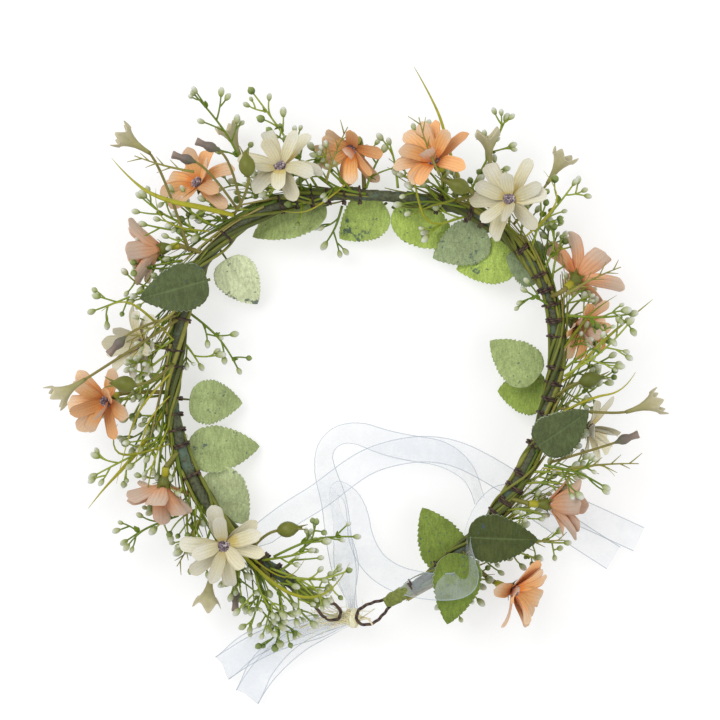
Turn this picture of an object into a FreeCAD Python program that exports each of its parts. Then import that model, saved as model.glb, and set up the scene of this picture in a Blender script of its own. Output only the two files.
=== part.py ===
"""Flower crown: a wired oval band with fabric daisies, leaves, buds and organza ties.

Millimetres.  The crown lies on a table as it does in use before it is put on:
origin on the table at the middle of the head opening, +Z up along the crown's
axis, +Y towards the forehead.  The band opens at the back, at -Y.
"""
import FreeCAD
import Part
import math
import os
from FreeCAD import Placement, Rotation, Vector

# ---- driving dimensions -------------------------------------------------
BAND_HEIGHT = 22.0        # height of the band's centreline above the table
WIRE_RADIUS = 1.2         # paper-covered core wire
WRAP_INNER = 1.3          # floral tape sleeve over the core wire
WRAP_RADIUS = 2.6
VINE_RADIUS = 0.9         # plastic vine stem wound along the band
VINE_OFFSET = 3.9         # vine centreline from the band's centreline
BINDING_RADIUS = 0.35     # thin brown wire tied round the band
BINDING_RING = 3.05
BINDING_SPACING = 17.0
EYE_RADIUS = 0.7          # wire of the two end eyes
END_TAPE_RADIUS = 3.3
STEM_RADIUS = 0.8         # flower stems
TWIG_RADIUS = 0.45        # sprig twigs
HINGE_X = 8.0             # the band flexes about this line at the forehead
HINGE_Y = 103.0
HINGE_GAP = 0.8           # half the gap between the two halves of the band
FABRIC = 0.5              # petals and leaves
ORGANZA = 0.4
RIBBON_WIDTH = 13.5
PETAL_LENGTH = 22.0
PETAL_WIDTH = 7.4
LEAF_WIDTH = 24.0

# Band centreline, seen from above, from the back opening round to the
# forehead.  The band is widest in front of the ears.
BAND_RIGHT = (
    (14, -100), (34, -88), (56, -69), (77, -42), (90, -10), (97, 21),
    (93, 53), (77, 80), (46, 98), (HINGE_X + HINGE_GAP, HINGE_Y),
)
BAND_LEFT = (
    (HINGE_X - HINGE_GAP, HINGE_Y), (-26, 103), (-60, 93), (-85, 67),
    (-95, 33), (-98, -6), (-88, -41), (-67, -68), (-46, -86), (-27, -100),
)
EYE_RIGHT = (
    (13.4, -99.6, 22.6), (3, -101.5, 21.5), (-5, -106, 20), (-4.5, -113, 19),
    (3, -113.5, 19), (9, -108, 20.5), (13.6, -101.4, 21.6),
)
EYE_LEFT = (
    (-26.6, -100.6, 22.6), (-19, -101, 22), (-12.5, -104.5, 21), (-13, -110.5, 20),
    (-19, -111, 20), (-23.5, -107, 21), (-26.6, -101.8, 21.4),
)

# ---- placements, by hand ------------------------------------------------
# Daisies: name, side, form, place of the hub, where it faces (azimuth and
# elevation in degrees), turn about its own axis, size.
DAISIES = (
    ("peach_daisy_1", "left", "open", (-84, 108, 21), (125, 50), 10, 0.95),
    ("peach_daisy_2", "left", "bell", (-102, 76, 23), (188, -12), 0, 1.0),
    ("peach_daisy_3", "left", "cup", (-129, 0, 27), (214, 60), 20, 0.95),
    ("peach_daisy_4", "left", "cup", (-101, -42, 26), (262, -16), 8, 0.95),
    ("peach_daisy_5", "left", "cup", (-7, 126, 24), (240, 46), 8, 0.92),
    ("cream_daisy_1", "left", "open", (-42, 115, 37), (100, 70), 0, 1.0),
    ("cream_daisy_2", "left", "cup", (-112, 28, 16), (170, 46), 0, 0.95),
    ("cream_daisy_3", "left", "open", (-70, -71, 38), (275, 80), 12, 0.98),
    ("peach_daisy_6", "right", "cup", (34, 118, 36), (140, 56), 0, 1.0),
    ("peach_daisy_7", "right", "cup", (105, 61, 27), (42, -32), 0, 1.05),
    ("peach_daisy_8", "right", "cup", (106, 38, 15), (335, 38), 15, 0.9),
    ("peach_daisy_9", "right", "bell", (90, -52, 28), (356, -10), 0, 1.0),
    ("peach_daisy_10", "right", "cup", (73, -95, 23), (340, 28), 0, 0.98),
    ("cream_daisy_4", "right", "open", (71, 99, 38), (190, 68), 0, 1.0),
    ("cream_daisy_5", "right", "cup", (112, -15, 17), (350, 38), 0, 0.9),
)

# Leaves: node, side, base, where the blade points (azimuth, elevation), roll
# about the midrib, length.
LEAVES = (
    ("leaf_front_left", "left", (-73, 74, 17), (-57, -16), 12, 33),
    ("leaves_left", "left", (-80, 59, 33), (196, 6), -10, 33),
    ("leaves_left", "left", (-22, 98, 17), (200, -8), 18, 40),
    ("leaves_left", "left", (8, 98, 12), (216, -14), 0, 28),
    ("leaf_side_left", "left", (-93, 0, 17), (-5, -16), 8, 32),
    ("leaves_left", "left", (-88, -26, 16), (4, -16), -8, 36),
    ("leaves_left", "left", (-78, -38, 14), (-57, -14), 0, 33),
    ("leaves_right", "right", (16, 96, 15), (-30, -11), 0, 37),
    ("leaves_right", "right", (60, 84, 13), (206, -8), -12, 29),
    ("leaves_right", "right", (75, 72, 12), (190, -9), 8, 30),
    ("leaves_right", "right", (88, 67, 18), (163, -8), 0, 18),
    ("leaf_side_right", "right", (89.5, 8.5, 19), (141, -10), 0, 35),
    ("leaves_right", "right", (90, 4, 11), (180, -18), 0, 24),
    ("leaves_right", "right", (86, -22, 36), (35, 14), 15, 29),
    ("leaves_right", "right", (52, -68, 33), (-2, 5), 0, 33),
    ("leaves_right", "right", (44, -84, 16), (118, -6), 0, 33),
    ("leaves_right", "right", (48, -78, 31), (-104, 4), 10, 34),
)

# Sprigs of small round buds: side, kind, root, azimuth, elevation, roll.
SPRIGS = (
    ("left", "tall", (-24, 106, 20), 122, 2, 0),
    ("left", "tall", (-55, 101, 24), 110, 7, 30),
    ("left", "fork", (-86, 86, 22), 158, 4, 0),
    ("left", "long", (-100, 60, 24), 205, -8, 0),
    ("left", "fork", (-104, 2, 17), 188, -8, 0),
    ("left", "long", (-100, -20, 24), 205, -6, 0),
    ("left", "short", (-96, 34, 17), -50, -10, 0),
    ("left", "long", (-92, 46, 18), -36, -8, 0),
    ("left", "fork", (-94, -58, 22), 200, -10, 0),
    ("left", "fork", (-52, -86, 20), 262, -10, 0),
    ("left", "long", (-56, -84, 22), 290, -6, 0),
    ("left", "long", (-46, -78, 28), 28, 2, 0),
    ("left", "fork", (-40, -88, 27), -8, 6, 0),
    ("left", "fork", (-44, -94, 18), -84, -6, 0),
    ("left", "short", (-12, 98, 16), 255, -10, 0),
    ("right", "fork", (22, 108, 20), 75, -2, 0),
    ("right", "long", (52, 104, 22), 62, 0, 0),
    ("right", "fork", (84, 84, 26), 48, 10, 0),
    ("right", "fork", (99, 42, 38), -6, 8, 0),
    ("right", "long", (98, 12, 34), 32, 14, 0),
    ("right", "short", (101, 8, 20), 3, -6, 0),
    ("right", "fork", (88, -32, 35), 352, 16, 0),
    ("right", "short", (68, -70, 22), 320, -12, 0),
    ("right", "fork", (72, -64, 18), 330, -12, 0),
    ("right", "short", (49, -87, 14), 262, -6, 0),
)

# Closed olive buds on stems: side, root, bud place.
OLIVE_BUDS = (
    ("left", (-66, 92, 28), (-57, 109, 53), 97, 4),
    ("left", (-96, 18, 28), (-112, 8, 51), 176, 4),
    ("left", (-58, -76, 24), (-44, -65, 28), 8, 4),
    ("right", (95, 2, 28), (106, 9, 34), 14, 0),
    ("right", (44, 99, 27), (50, 103, 46), 160, 4),
)

# Flared trumpet flowers: side, root, throat place, azimuth, elevation.
TRUMPETS = (
    ("left", (-88, 74, 28), (-107, 122, 42), 148, 8),
    ("left", (-94, 40, 28), (-137, 10, 53), 212, 4),
    ("left", (-44, 100, 18), (-64, 124, 14), 112, 0),
    ("left", (-74, -62, 20), (-78, -88, 20), 262, -8),
    ("right", (96, -4, 28), (128, -5, 46), 18, 4),
    ("right", (60, 98, 24), (62, 118, 26), 95, 10),
    ("right", (74, 88, 22), (92, 110, 19), 58, 2),
)

# Narrow tubular buds: side, root, place, azimuth, elevation.
TUBE_BUDS = (
    ("left", (-62, 96, 30), (-72, 122, 50), 158, 6),
    ("left", (-64, 95, 30), (-84, 117, 44), 162, 6),
    ("left", (-95, 42, 28), (-118, 31, 45), 226, 4),
    ("left", (-62, -78, 20), (-66, -96, 14), 268, -8),
    ("right", (92, -31, 28), (122, -20, 47), 20, 8),
)

# Grass blades: side, then the blade's own route.
GRASS = (
    ("left", ((-66, 92, 30), (-80, 95, 40), (-98, 98, 42), (-114, 106, 38), (-126, 120, 34))),
    ("left", ((-100, -4, 24), (-110, -20, 20), (-122, -34, 15), (-134, -46, 10), (-142, -56, 6))),
    ("left", ((-62, -76, 30), (-46, -92, 34), (-28, -99, 36), (-14, -92, 36), (-8, -80, 36))),
    ("right", ((52, 98, 22), (51, 114, 19), (45, 132, 20), (36, 150, 24), (24, 168, 28))),
    ("right", ((98, 9, 28), (108, 20, 32), (120, 32, 35), (132, 42, 35), (142, 50, 33))),
)

# Ribbon runs seen from above, each lying flat at its own height.
TIE_LEFT = (
    (-62, -74), (-40, -54), (-20, -38), (2, -23), (22, -19), (42, -26),
    (62, -42), (84, -54), (108, -62), (137, -72),
)
TIE_RIGHT = (
    (-6, -106), (-12, -80), (-18, -58), (-24, -38), (-16, -24), (-6, -46),
    (4, -74), (20, -91), (42, -92), (50, -78), (62, -56), (84, -62),
    (104, -70), (126, -82),
)
TIE_LEFT_Z = 4.0
TIE_RIGHT_Z = 2.0
KNOT_PLACE = (-6.5, -110.5, 15)
KNOT_RADIUS = 5.2
BOW_LOOPS = (
    # azimuth, elevation, length, height of the loop, roll
    (203, -7, 74, 6.0, 0),
    (216, -6, 72, 5.0, 0),
)


# ---- geometry helpers -----------------------------------------------------
def smooth_path(points):
    """A wire of straight runs joined by tangent arcs as large as the runs allow."""
    corners = [Vector(*p) for p in points]
    edges = []
    start = corners[0]
    for before, corner, after in zip(corners, corners[1:], corners[2:]):
        arriving = corner - before
        leaving = after - corner
        reach = 0.45 * min(arriving.Length, leaving.Length)
        arriving.normalize()
        leaving.normalize()
        turn = arriving.getAngle(leaving)
        if turn < math.radians(0.5):
            continue
        radius = reach / math.tan(turn / 2)
        first = corner - arriving * reach
        last = corner + leaving * reach
        inward = leaving - arriving
        inward.normalize()
        middle = corner + inward * (radius / math.cos(turn / 2) - radius)
        edges.append(Part.LineSegment(start, first).toShape())
        edges.append(Part.Arc(first, middle, last).toShape())
        start = last
    edges.append(Part.LineSegment(start, corners[-1]).toShape())
    return Part.Wire(edges)


def tube(points, radius):
    """A round solid along a smooth path."""
    path = smooth_path(points)
    start = Vector(*points[0])
    heading = Vector(*points[1]) - start
    section = Part.Wire([Part.makeCircle(radius, start, heading)])
    return path.makePipeShell([section], True, False)


def heading_vector(azimuth, elevation):
    """Unit vector at an azimuth about +Z and an elevation above the table."""
    a = math.radians(azimuth)
    e = math.radians(elevation)
    return Vector(math.cos(a) * math.cos(e), math.sin(a) * math.cos(e), math.sin(e))


def point_x(shape, place, azimuth, elevation, roll=0.0):
    """A copy whose own +X points along the heading."""
    turned = Rotation(Vector(0, 0, 1), azimuth)
    turned = turned.multiply(Rotation(Vector(0, 1, 0), -elevation))
    turned = turned.multiply(Rotation(Vector(1, 0, 0), roll))
    moved = shape.copy()
    moved.Placement = Placement(Vector(*place), turned).multiply(shape.Placement)
    return moved


def point_z(shape, place, azimuth, elevation, spin=0.0):
    """A copy whose own +Z points along the heading."""
    turned = Rotation(Vector(0, 0, 1), azimuth)
    turned = turned.multiply(Rotation(Vector(0, 1, 0), 90 - elevation))
    turned = turned.multiply(Rotation(Vector(0, 0, 1), spin))
    moved = shape.copy()
    moved.Placement = Placement(Vector(*place), turned).multiply(shape.Placement)
    return moved


def revolved(profile):
    """A solid turned about +Z from (radius, height) corners."""
    corners = [Vector(r, 0, z) for r, z in profile]
    face = Part.Face(Part.makePolygon(corners + corners[:1]))
    return face.revolve(Vector(0, 0, 0), Vector(0, 0, 1), 360)


def on_band(points):
    return [(x, y, BAND_HEIGHT) for x, y in points]


# ---- the band -------------------------------------------------------------
def sleeve(points):
    """Floral tape sleeve: a tube with the core wire's bore."""
    outer = tube(points, WRAP_RADIUS)
    return outer.cut(tube(points, WRAP_INNER))


def vine(points):
    """A stem wound about the band, one turn in about 60 mm."""
    path = smooth_path(points)
    count = int(path.Length / 11.0)
    centres = path.discretize(Number=count)
    route = []
    for i in range(1, count - 1):
        along = centres[i + 1] - centres[i - 1]
        along.normalize()
        outward = along.cross(Vector(0, 0, 1))
        angle = math.radians(66.0 * i)
        spot = centres[i] + outward * (VINE_OFFSET * math.cos(angle))
        spot = spot + Vector(0, 0, VINE_OFFSET * math.sin(angle))
        route.append(tuple(spot))
    return tube(route, VINE_RADIUS)


def binding_turns(points):
    """Turns of thin brown wire that tie the stems to the band."""
    path = smooth_path(points)
    count = int(path.Length / BINDING_SPACING)
    centres = path.discretize(Number=count * 2 + 1)
    turns = []
    for i in range(1, count * 2, 2):
        along = centres[i + 1] - centres[i - 1]
        turns.append(Part.makeTorus(BINDING_RING, BINDING_RADIUS, centres[i], along))
    return turns


def build_band(nodes):
    for side, route in (("right", BAND_RIGHT), ("left", BAND_LEFT)):
        points = on_band(route)
        nodes["core_wire_" + side] = [tube(points, WIRE_RADIUS)]
        nodes["tape_wrap_" + side] = [sleeve(points)]
        nodes["vine_stem_" + side] = [vine(points)]
        nodes["binding_wire_" + side] = binding_turns(points)
    nodes["end_eye_right"] = [tube(EYE_RIGHT, EYE_RADIUS)]
    nodes["end_eye_left"] = [tube(EYE_LEFT, EYE_RADIUS)]
    nodes["end_tape_right"] = [tube([(22.5, -94.9, 22), (9.5, -102.0, 22)], END_TAPE_RADIUS)]
    nodes["end_tape_left"] = [tube([(-34.3, -94.6, 22), (-23.0, -102.9, 22)], END_TAPE_RADIUS)]


# ---- daisies ----------------------------------------------------------------
def strap_petal(length, width, tilt, curl_radius):
    """One round-ended petal along +X, raised by tilt and curled lengthwise."""
    half = width / 2
    root = Vector(1.0, -1.2, 0)
    shoulder = Vector(0.45 * length, -half, 0)
    round_start = Vector(length - half, -half, 0)
    tip = Vector(length, 0, 0)
    mirrored = [Vector(p.x, -p.y, 0) for p in (round_start, shoulder, root)]
    edges = [
        Part.LineSegment(root, shoulder).toShape(),
        Part.LineSegment(shoulder, round_start).toShape(),
        Part.Arc(round_start, tip, mirrored[0]).toShape(),
        Part.LineSegment(mirrored[0], mirrored[1]).toShape(),
        Part.LineSegment(mirrored[1], mirrored[2]).toShape(),
        Part.LineSegment(mirrored[2], root).toShape(),
    ]
    outline = Part.Face(Part.Wire(edges))
    outline.translate(Vector(0, 0, -length))
    prism = outline.extrude(Vector(0, 0, 2 * length))
    axis_start = Vector(0, -width, -curl_radius)
    outer = Part.makeCylinder(curl_radius + FABRIC, 2 * width, axis_start, Vector(0, 1, 0))
    inner = Part.makeCylinder(curl_radius, 2 * width, axis_start, Vector(0, 1, 0))
    petal = prism.common(outer.cut(inner)).Solids
    highest = max(petal, key=lambda solid: solid.CenterOfMass.z)
    return point_x(highest, (0.8, 0, 0), 0, tilt)


def petal_layer(count, length, width, tilt, curl_radius, spin):
    """A die-cut layer: petals joined at a small hub disc."""
    petal = strap_petal(length, width, tilt, curl_radius)
    petals = []
    for i in range(count):
        turned = Placement(Vector(0, 0, 0), Rotation(Vector(0, 0, 1), spin + 360.0 * i / count))
        copy = petal.copy()
        copy.Placement = turned.multiply(petal.Placement)
        petals.append(copy)
    hub = Part.makeCylinder(3.0, FABRIC, Vector(0, 0, 0))
    return hub.multiFuse(petals).Solids[0]


def daisy_layers(form):
    """Lower and upper petal layers of a daisy of the given form."""
    tilts = {"open": (10, 24), "cup": (36, 50), "bell": (56, 66)}[form]
    curl = {"open": 45.0, "cup": 50.0, "bell": 40.0}[form]
    lower = petal_layer(6, PETAL_LENGTH, PETAL_WIDTH, tilts[0], curl, 0)
    upper = petal_layer(5, 0.88 * PETAL_LENGTH, 0.95 * PETAL_WIDTH, tilts[1], curl, 30.0)
    upper.translate(Vector(0, 0, 1.2 * FABRIC))
    return [lower, upper]


def bead_cluster():
    """Cluster of stamen beads: a low dome on the hub."""
    return revolved(((0, 0.8), (2.4, 0.8), (3.2, 2.2), (2.4, 3.8), (0, 4.6)))


def calyx():
    """Green cup behind the petals with the ferrule that grips the stem."""
    return revolved(((0, -0.1), (3.0, -0.1), (2.4, -2.4), (1.6, -4.0), (1.6, -9.0), (0, -9.0)))


def nearest_on_band(side, place):
    """The nearest point of that half of the band's centreline."""
    route = BAND_LEFT if side == "left" else BAND_RIGHT
    path = smooth_path(on_band(route))
    return min(path.discretize(Number=240), key=lambda p: (p - place).Length)


def stem_to_band(side, start, leaving, radius):
    """A stem that leaves along a heading and bends round to the band."""
    first = start + leaving * 6.0
    centre = nearest_on_band(side, first)
    towards = first - centre
    gap = towards.Length
    towards.normalize()
    surface = centre + towards * (WRAP_RADIUS + radius + 0.3)
    if gap < 12.0:
        return tube([tuple(start), tuple(surface)], radius)
    return tube([tuple(start), tuple(first), tuple(surface)], radius)


def build_daisies(nodes):
    layers = {form: daisy_layers(form) for form in ("open", "cup", "bell")}
    bead = bead_cluster()
    cup = calyx()
    for name, side, form, place, (azimuth, elevation), spin, size in DAISIES:
        petals = []
        for layer in layers[form]:
            petals.append(point_z(layer.scaled(size), place, azimuth, elevation, spin))
        nodes[name + "_petals"] = petals
        facing = heading_vector(azimuth, elevation)
        stem_start = Vector(*place) - facing * 8.9
        nodes[name + "_core"] = [
            point_z(bead, place, azimuth, elevation),
            point_z(cup, place, azimuth, elevation),
            stem_to_band(side, stem_start, facing * -1.0, STEM_RADIUS),
        ]


# ---- leaves -----------------------------------------------------------------
def leaf(length):
    """A broad pointed leaf along +X, arched downwards, on a short wired stalk."""
    half = LEAF_WIDTH / 2
    base = Vector(0.8, 0, 0)
    tip = Vector(length, 0, 0)
    edges = []
    for side in (1, -1):
        shoulder = Vector(0.14 * length, side * 0.8 * half, 0)
        widest = Vector(0.38 * length, side * half, 0)
        narrowing = Vector(0.75 * length, side * 0.64 * half, 0)
        near = Part.Arc(base, shoulder, widest).toShape()
        far = Part.Arc(widest, narrowing, tip).toShape()
        edges.extend((near, far) if side > 0 else (far, near))
    outline = Part.Face(Part.Wire(edges))
    outline.translate(Vector(0, 0, -length))
    prism = outline.extrude(Vector(0, 0, 2 * length))
    arch = 70.0
    axis_start = Vector(0.3 * length, -LEAF_WIDTH, -arch)
    outer = Part.makeCylinder(arch + FABRIC / 2, 2 * LEAF_WIDTH, axis_start, Vector(0, 1, 0))
    inner = Part.makeCylinder(arch - FABRIC / 2, 2 * LEAF_WIDTH, axis_start, Vector(0, 1, 0))
    blade = max(prism.common(outer.cut(inner)).Solids, key=lambda solid: solid.CenterOfMass.z)
    stalk = Part.makeCylinder(0.6, 9.0, Vector(0, 0, -0.9), Vector(1, 0, 0.08))
    return blade.fuse(stalk).Solids[0]


def build_leaves(nodes):
    for node, side, place, (azimuth, elevation), roll, length in LEAVES:
        nodes.setdefault(node, []).append(point_x(leaf(length), place, azimuth, elevation, roll))


# ---- sprigs, buds, trumpets, grass --------------------------------------------
def twig(start, end):
    line = Vector(*end) - Vector(*start)
    return Part.makeCylinder(TWIG_RADIUS, line.Length, Vector(*start), line)


def knob(radius, place, heading):
    """A small faceted round bud whose axis lies along the heading."""
    rim = 0.75 * radius
    ball = revolved(((0, -radius), (rim, -rim), (radius, 0), (rim, rim), (0, radius)))
    ball.Placement = Placement(Vector(*place), Rotation(Vector(0, 0, 1), Vector(*heading)))
    return ball


def sprig(kind):
    """Forked twigs along +X, each ending in a small round bud."""
    runs = {
        "fork": (
            ((0, 0, 0), (17, 0, 0), 0), ((17, 0, 0), (30, 2, 0), 2.1),
            ((10, 0, 0), (20, 7, 1), 2.0), ((17, 0, 0), (25, -7, 1), 1.9),
        ),
        "long": (
            ((0, 0, 0), (22, 0, 0), 0), ((22, 0, 0), (40, 3, 0), 2.1),
            ((22, 0, 0), (33, -6, 1), 2.0), ((30, 1.3, 0), (36, 8, 0), 1.9),
        ),
        "tall": (
            ((0, 0, 0), (36, 0, 0), 0), ((36, 0, 0), (58, 3, 0), 2.1),
            ((36, 0, 0), (50, -8, 1), 2.0), ((25, 0, 0), (37, 7, 0), 1.9),
        ),
        "short": (
            ((0, 0, 0), (11, 0, 0), 0), ((11, 0, 0), (20, 4, 0), 2.1),
            ((11, 0, 0), (20, -4, 1), 2.0), ((7, 0, 0), (12, -6, 0), 1.8),
        ),
    }[kind]
    pieces = [twig(start, end) for start, end, _ in runs]
    forks = {start for start, _, _ in runs if start != (0, 0, 0)}
    for fork in sorted(forks):
        pieces.append(knob(1.5 * TWIG_RADIUS, fork, (1, 0, 0)))
    for start, end, radius in runs:
        if radius:
            pieces.append(knob(radius, end, Vector(*end) - Vector(*start)))
    return pieces[0].multiFuse(pieces[1:]).Solids[0]


def olive_bud():
    """A closed round bud along +X that ends in a split point."""
    profile = (
        (0, 0), (2.6, 0.6), (4.6, 3), (5.2, 6), (4.2, 9), (1.8, 11.5), (0.6, 13.5), (0, 13.5),
    )
    return point_z(revolved(profile), (0, 0, 0), 0, 0)


def trumpet():
    """An open flared flower along +X."""
    flared = revolved(((0, 0), (0.9, 0), (1.8, 7), (6.5, 17), (5.9, 17.3), (1.2, 8), (0, 7)))
    return point_z(flared, (0, 0, 0), 0, 0)


def tube_bud():
    """A narrow closed bud along +X."""
    bud = revolved(((0, 0), (0.9, 0), (1.7, 5), (2.0, 13), (1.0, 15), (0, 15)))
    return point_z(bud, (0, 0, 0), 0, 0)


def stalked(shape, root, place, azimuth, elevation):
    """A bud with its stem from the band."""
    facing = heading_vector(azimuth, elevation)
    back = Vector(*place) - facing * 7.0
    stem = tube([root, tuple(back), tuple(Vector(*place) + facing * 0.5)], 0.7)
    head = point_x(shape, place, azimuth, elevation)
    return head.fuse(stem).Solids[0]


def build_trim(nodes):
    sprigs = {kind: sprig(kind) for kind in ("fork", "long", "tall", "short")}
    for side, kind, root, azimuth, elevation, roll in SPRIGS:
        piece = point_x(sprigs[kind], root, azimuth, elevation, roll)
        nodes.setdefault("sprigs_" + side, []).append(piece)
    bud = olive_bud()
    for side, root, place, azimuth, elevation in OLIVE_BUDS:
        piece = stalked(bud, root, place, azimuth, elevation)
        nodes.setdefault("buds_" + side, []).append(piece)
    flared = trumpet()
    for side, root, place, azimuth, elevation in TRUMPETS:
        piece = stalked(flared, root, place, azimuth, elevation)
        nodes.setdefault("trumpets_" + side, []).append(piece)
    narrow = tube_bud()
    for side, root, place, azimuth, elevation in TUBE_BUDS:
        piece = stalked(narrow, root, place, azimuth, elevation)
        nodes.setdefault("buds_" + side, []).append(piece)
    for side, route in GRASS:
        nodes.setdefault("grass_" + side, []).append(tube(route, 0.7))


# ---- ribbons --------------------------------------------------------------------
def flat_ribbon(points, height):
    """A flat band of organza that follows a route at one height."""
    path = smooth_path([(x, y, height) for x, y in points])
    start = Vector(points[0][0], points[0][1], height)
    heading = Vector(points[1][0], points[1][1], height) - start
    heading.normalize()
    across = heading.cross(Vector(0, 0, 1)) * (RIBBON_WIDTH / 2)
    rise = Vector(0, 0, ORGANZA)
    corners = [start - across, start + across, start + across + rise, start - across + rise]
    section = Part.makePolygon(corners + corners[:1])
    sweep = Part.BRepOffsetAPI.MakePipeShell(path)
    sweep.setBiNormalMode(Vector(0, 0, 1))
    sweep.add(section)
    sweep.build()
    sweep.makeSolid()
    return sweep.shape()


def bow_loop(length, height):
    """A closed loop of ribbon along +X, seen edge-on as a thin teardrop."""
    half = height / 2
    near = KNOT_RADIUS + 3.0
    outer = [Vector(near, 0, -0.6), Vector(length - half, 0, -half)]
    back = [Vector(length - half, 0, half), Vector(near, 0, 0.6)]
    nose = Part.Arc(outer[1], Vector(length, 0, 0), back[0]).toShape()
    edges = [
        Part.LineSegment(outer[0], outer[1]).toShape(),
        nose,
        Part.LineSegment(back[0], back[1]).toShape(),
        Part.LineSegment(back[1], outer[0]).toShape(),
    ]
    outline = Part.Wire(edges)
    rim = outline.makeOffset2D(-ORGANZA)
    face = Part.Face([outline, rim])
    face.translate(Vector(0, -RIBBON_WIDTH / 2, 0))
    return face.extrude(Vector(0, RIBBON_WIDTH, 0))


def build_ribbons(nodes):
    nodes["tie_ribbon_left"] = [flat_ribbon(TIE_LEFT, TIE_LEFT_Z)]
    nodes["tie_ribbon_right"] = [flat_ribbon(TIE_RIGHT, TIE_RIGHT_Z)]
    nodes["ribbon_knot"] = [Part.makeSphere(KNOT_RADIUS, Vector(*KNOT_PLACE))]
    loops = []
    for azimuth, elevation, length, height, roll in BOW_LOOPS:
        loops.append(point_x(bow_loop(length, height), KNOT_PLACE, azimuth, elevation, roll))
    nodes["bow_loops"] = loops


def main():
    nodes = {}
    build_band(nodes)
    build_daisies(nodes)
    build_leaves(nodes)
    build_trim(nodes)
    build_ribbons(nodes)
    os.makedirs("parts", exist_ok=True)
    for name, shapes in nodes.items():
        solids = [solid for shape in shapes for solid in shape.Solids]
        Part.makeCompound(solids).exportStep(os.path.join("parts", name + ".step"))
    print(len(nodes), "nodes,", sum(len(s) for s in nodes.values()), "pieces")


main()
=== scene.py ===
import math
import random

import bpy
from mathutils import Matrix, Vector


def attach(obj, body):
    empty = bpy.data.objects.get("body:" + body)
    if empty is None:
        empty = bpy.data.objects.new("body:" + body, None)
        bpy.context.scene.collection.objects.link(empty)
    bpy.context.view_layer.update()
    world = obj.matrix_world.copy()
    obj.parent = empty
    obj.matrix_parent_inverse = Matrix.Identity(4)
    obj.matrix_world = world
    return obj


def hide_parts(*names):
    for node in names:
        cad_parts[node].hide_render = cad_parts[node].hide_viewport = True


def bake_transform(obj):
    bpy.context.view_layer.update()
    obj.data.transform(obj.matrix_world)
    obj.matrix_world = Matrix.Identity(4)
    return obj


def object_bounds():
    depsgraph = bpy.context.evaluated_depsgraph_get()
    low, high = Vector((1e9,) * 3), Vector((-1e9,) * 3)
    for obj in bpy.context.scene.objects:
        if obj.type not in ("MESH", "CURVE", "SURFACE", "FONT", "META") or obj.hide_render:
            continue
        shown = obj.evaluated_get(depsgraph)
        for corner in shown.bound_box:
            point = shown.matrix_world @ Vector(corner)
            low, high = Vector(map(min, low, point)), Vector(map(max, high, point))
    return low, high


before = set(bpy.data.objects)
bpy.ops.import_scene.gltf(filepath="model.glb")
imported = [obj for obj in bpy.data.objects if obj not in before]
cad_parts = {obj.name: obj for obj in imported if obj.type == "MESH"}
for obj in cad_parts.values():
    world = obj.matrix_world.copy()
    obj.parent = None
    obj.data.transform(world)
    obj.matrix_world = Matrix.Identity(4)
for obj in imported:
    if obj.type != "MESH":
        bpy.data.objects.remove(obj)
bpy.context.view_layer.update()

# Looks of the flower crown.  Placements are in millimetres and degrees in the
# crown's own frame and repeat the ones that its CAD model was made with.
MM = 0.001

BAND_HEIGHT = 22.0
WRAP_RADIUS = 2.6
BAND_STEP = 0.8     # between the points of the band's centreline
RIBBON_WIDTH = 13.5
HINGE_X = 8.0
HINGE_Y = 103.0
SIDE = {"left": "left_side", "right": "right_side"}

BAND_RIGHT = (
    (14, -100), (34, -88), (56, -69), (77, -42), (90, -10), (97, 21),
    (93, 53), (77, 80), (46, 98), (HINGE_X, HINGE_Y),
)
BAND_LEFT = (
    (HINGE_X, HINGE_Y), (-26, 103), (-60, 93), (-85, 67),
    (-95, 33), (-98, -6), (-88, -41), (-67, -68), (-46, -86), (-27, -100),
)
EYE_RIGHT = (
    (16, -98, 22), (13.4, -99.6, 22.6), (3, -101.5, 21.5), (-5, -106, 20), (-4.5, -113, 19),
    (3, -113.5, 19), (9, -108, 20.5), (13.6, -101.4, 21.6),
)
EYE_LEFT = (
    (-30, -98, 22), (-26.6, -100.6, 22.6), (-19, -101, 22), (-12.5, -104.5, 21),
    (-13, -110.5, 20), (-19, -111, 20), (-23.5, -107, 21), (-26.6, -101.8, 21.4),
)

# Daisies: name, side, form, hub, (azimuth, elevation), spin, size.
DAISIES = (
    ("peach_daisy_1", "left", "open", (-84, 108, 21), (125, 50), 10, 0.95),
    ("peach_daisy_2", "left", "bell", (-102, 76, 23), (188, -12), 0, 1.0),
    ("peach_daisy_3", "left", "cup", (-129, 0, 27), (214, 60), 20, 0.95),
    ("peach_daisy_4", "left", "cup", (-101, -42, 26), (262, -16), 8, 0.95),
    ("peach_daisy_5", "left", "cup", (-7, 126, 24), (240, 46), 8, 0.92),
    ("cream_daisy_1", "left", "open", (-42, 115, 37), (100, 70), 0, 1.0),
    ("cream_daisy_2", "left", "cup", (-112, 28, 16), (170, 46), 0, 0.95),
    ("cream_daisy_3", "left", "open", (-70, -71, 38), (275, 80), 12, 0.98),
    ("peach_daisy_6", "right", "cup", (34, 118, 36), (140, 56), 0, 1.0),
    ("peach_daisy_7", "right", "cup", (105, 61, 27), (42, -32), 0, 1.05),
    ("peach_daisy_8", "right", "cup", (106, 38, 15), (335, 38), 15, 0.9),
    ("peach_daisy_9", "right", "bell", (90, -52, 28), (356, -10), 0, 1.0),
    ("peach_daisy_10", "right", "cup", (73, -95, 23), (340, 28), 0, 0.98),
    ("cream_daisy_4", "right", "open", (71, 99, 38), (190, 68), 0, 1.0),
    ("cream_daisy_5", "right", "cup", (112, -15, 17), (350, 38), 0, 0.9),
)

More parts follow.
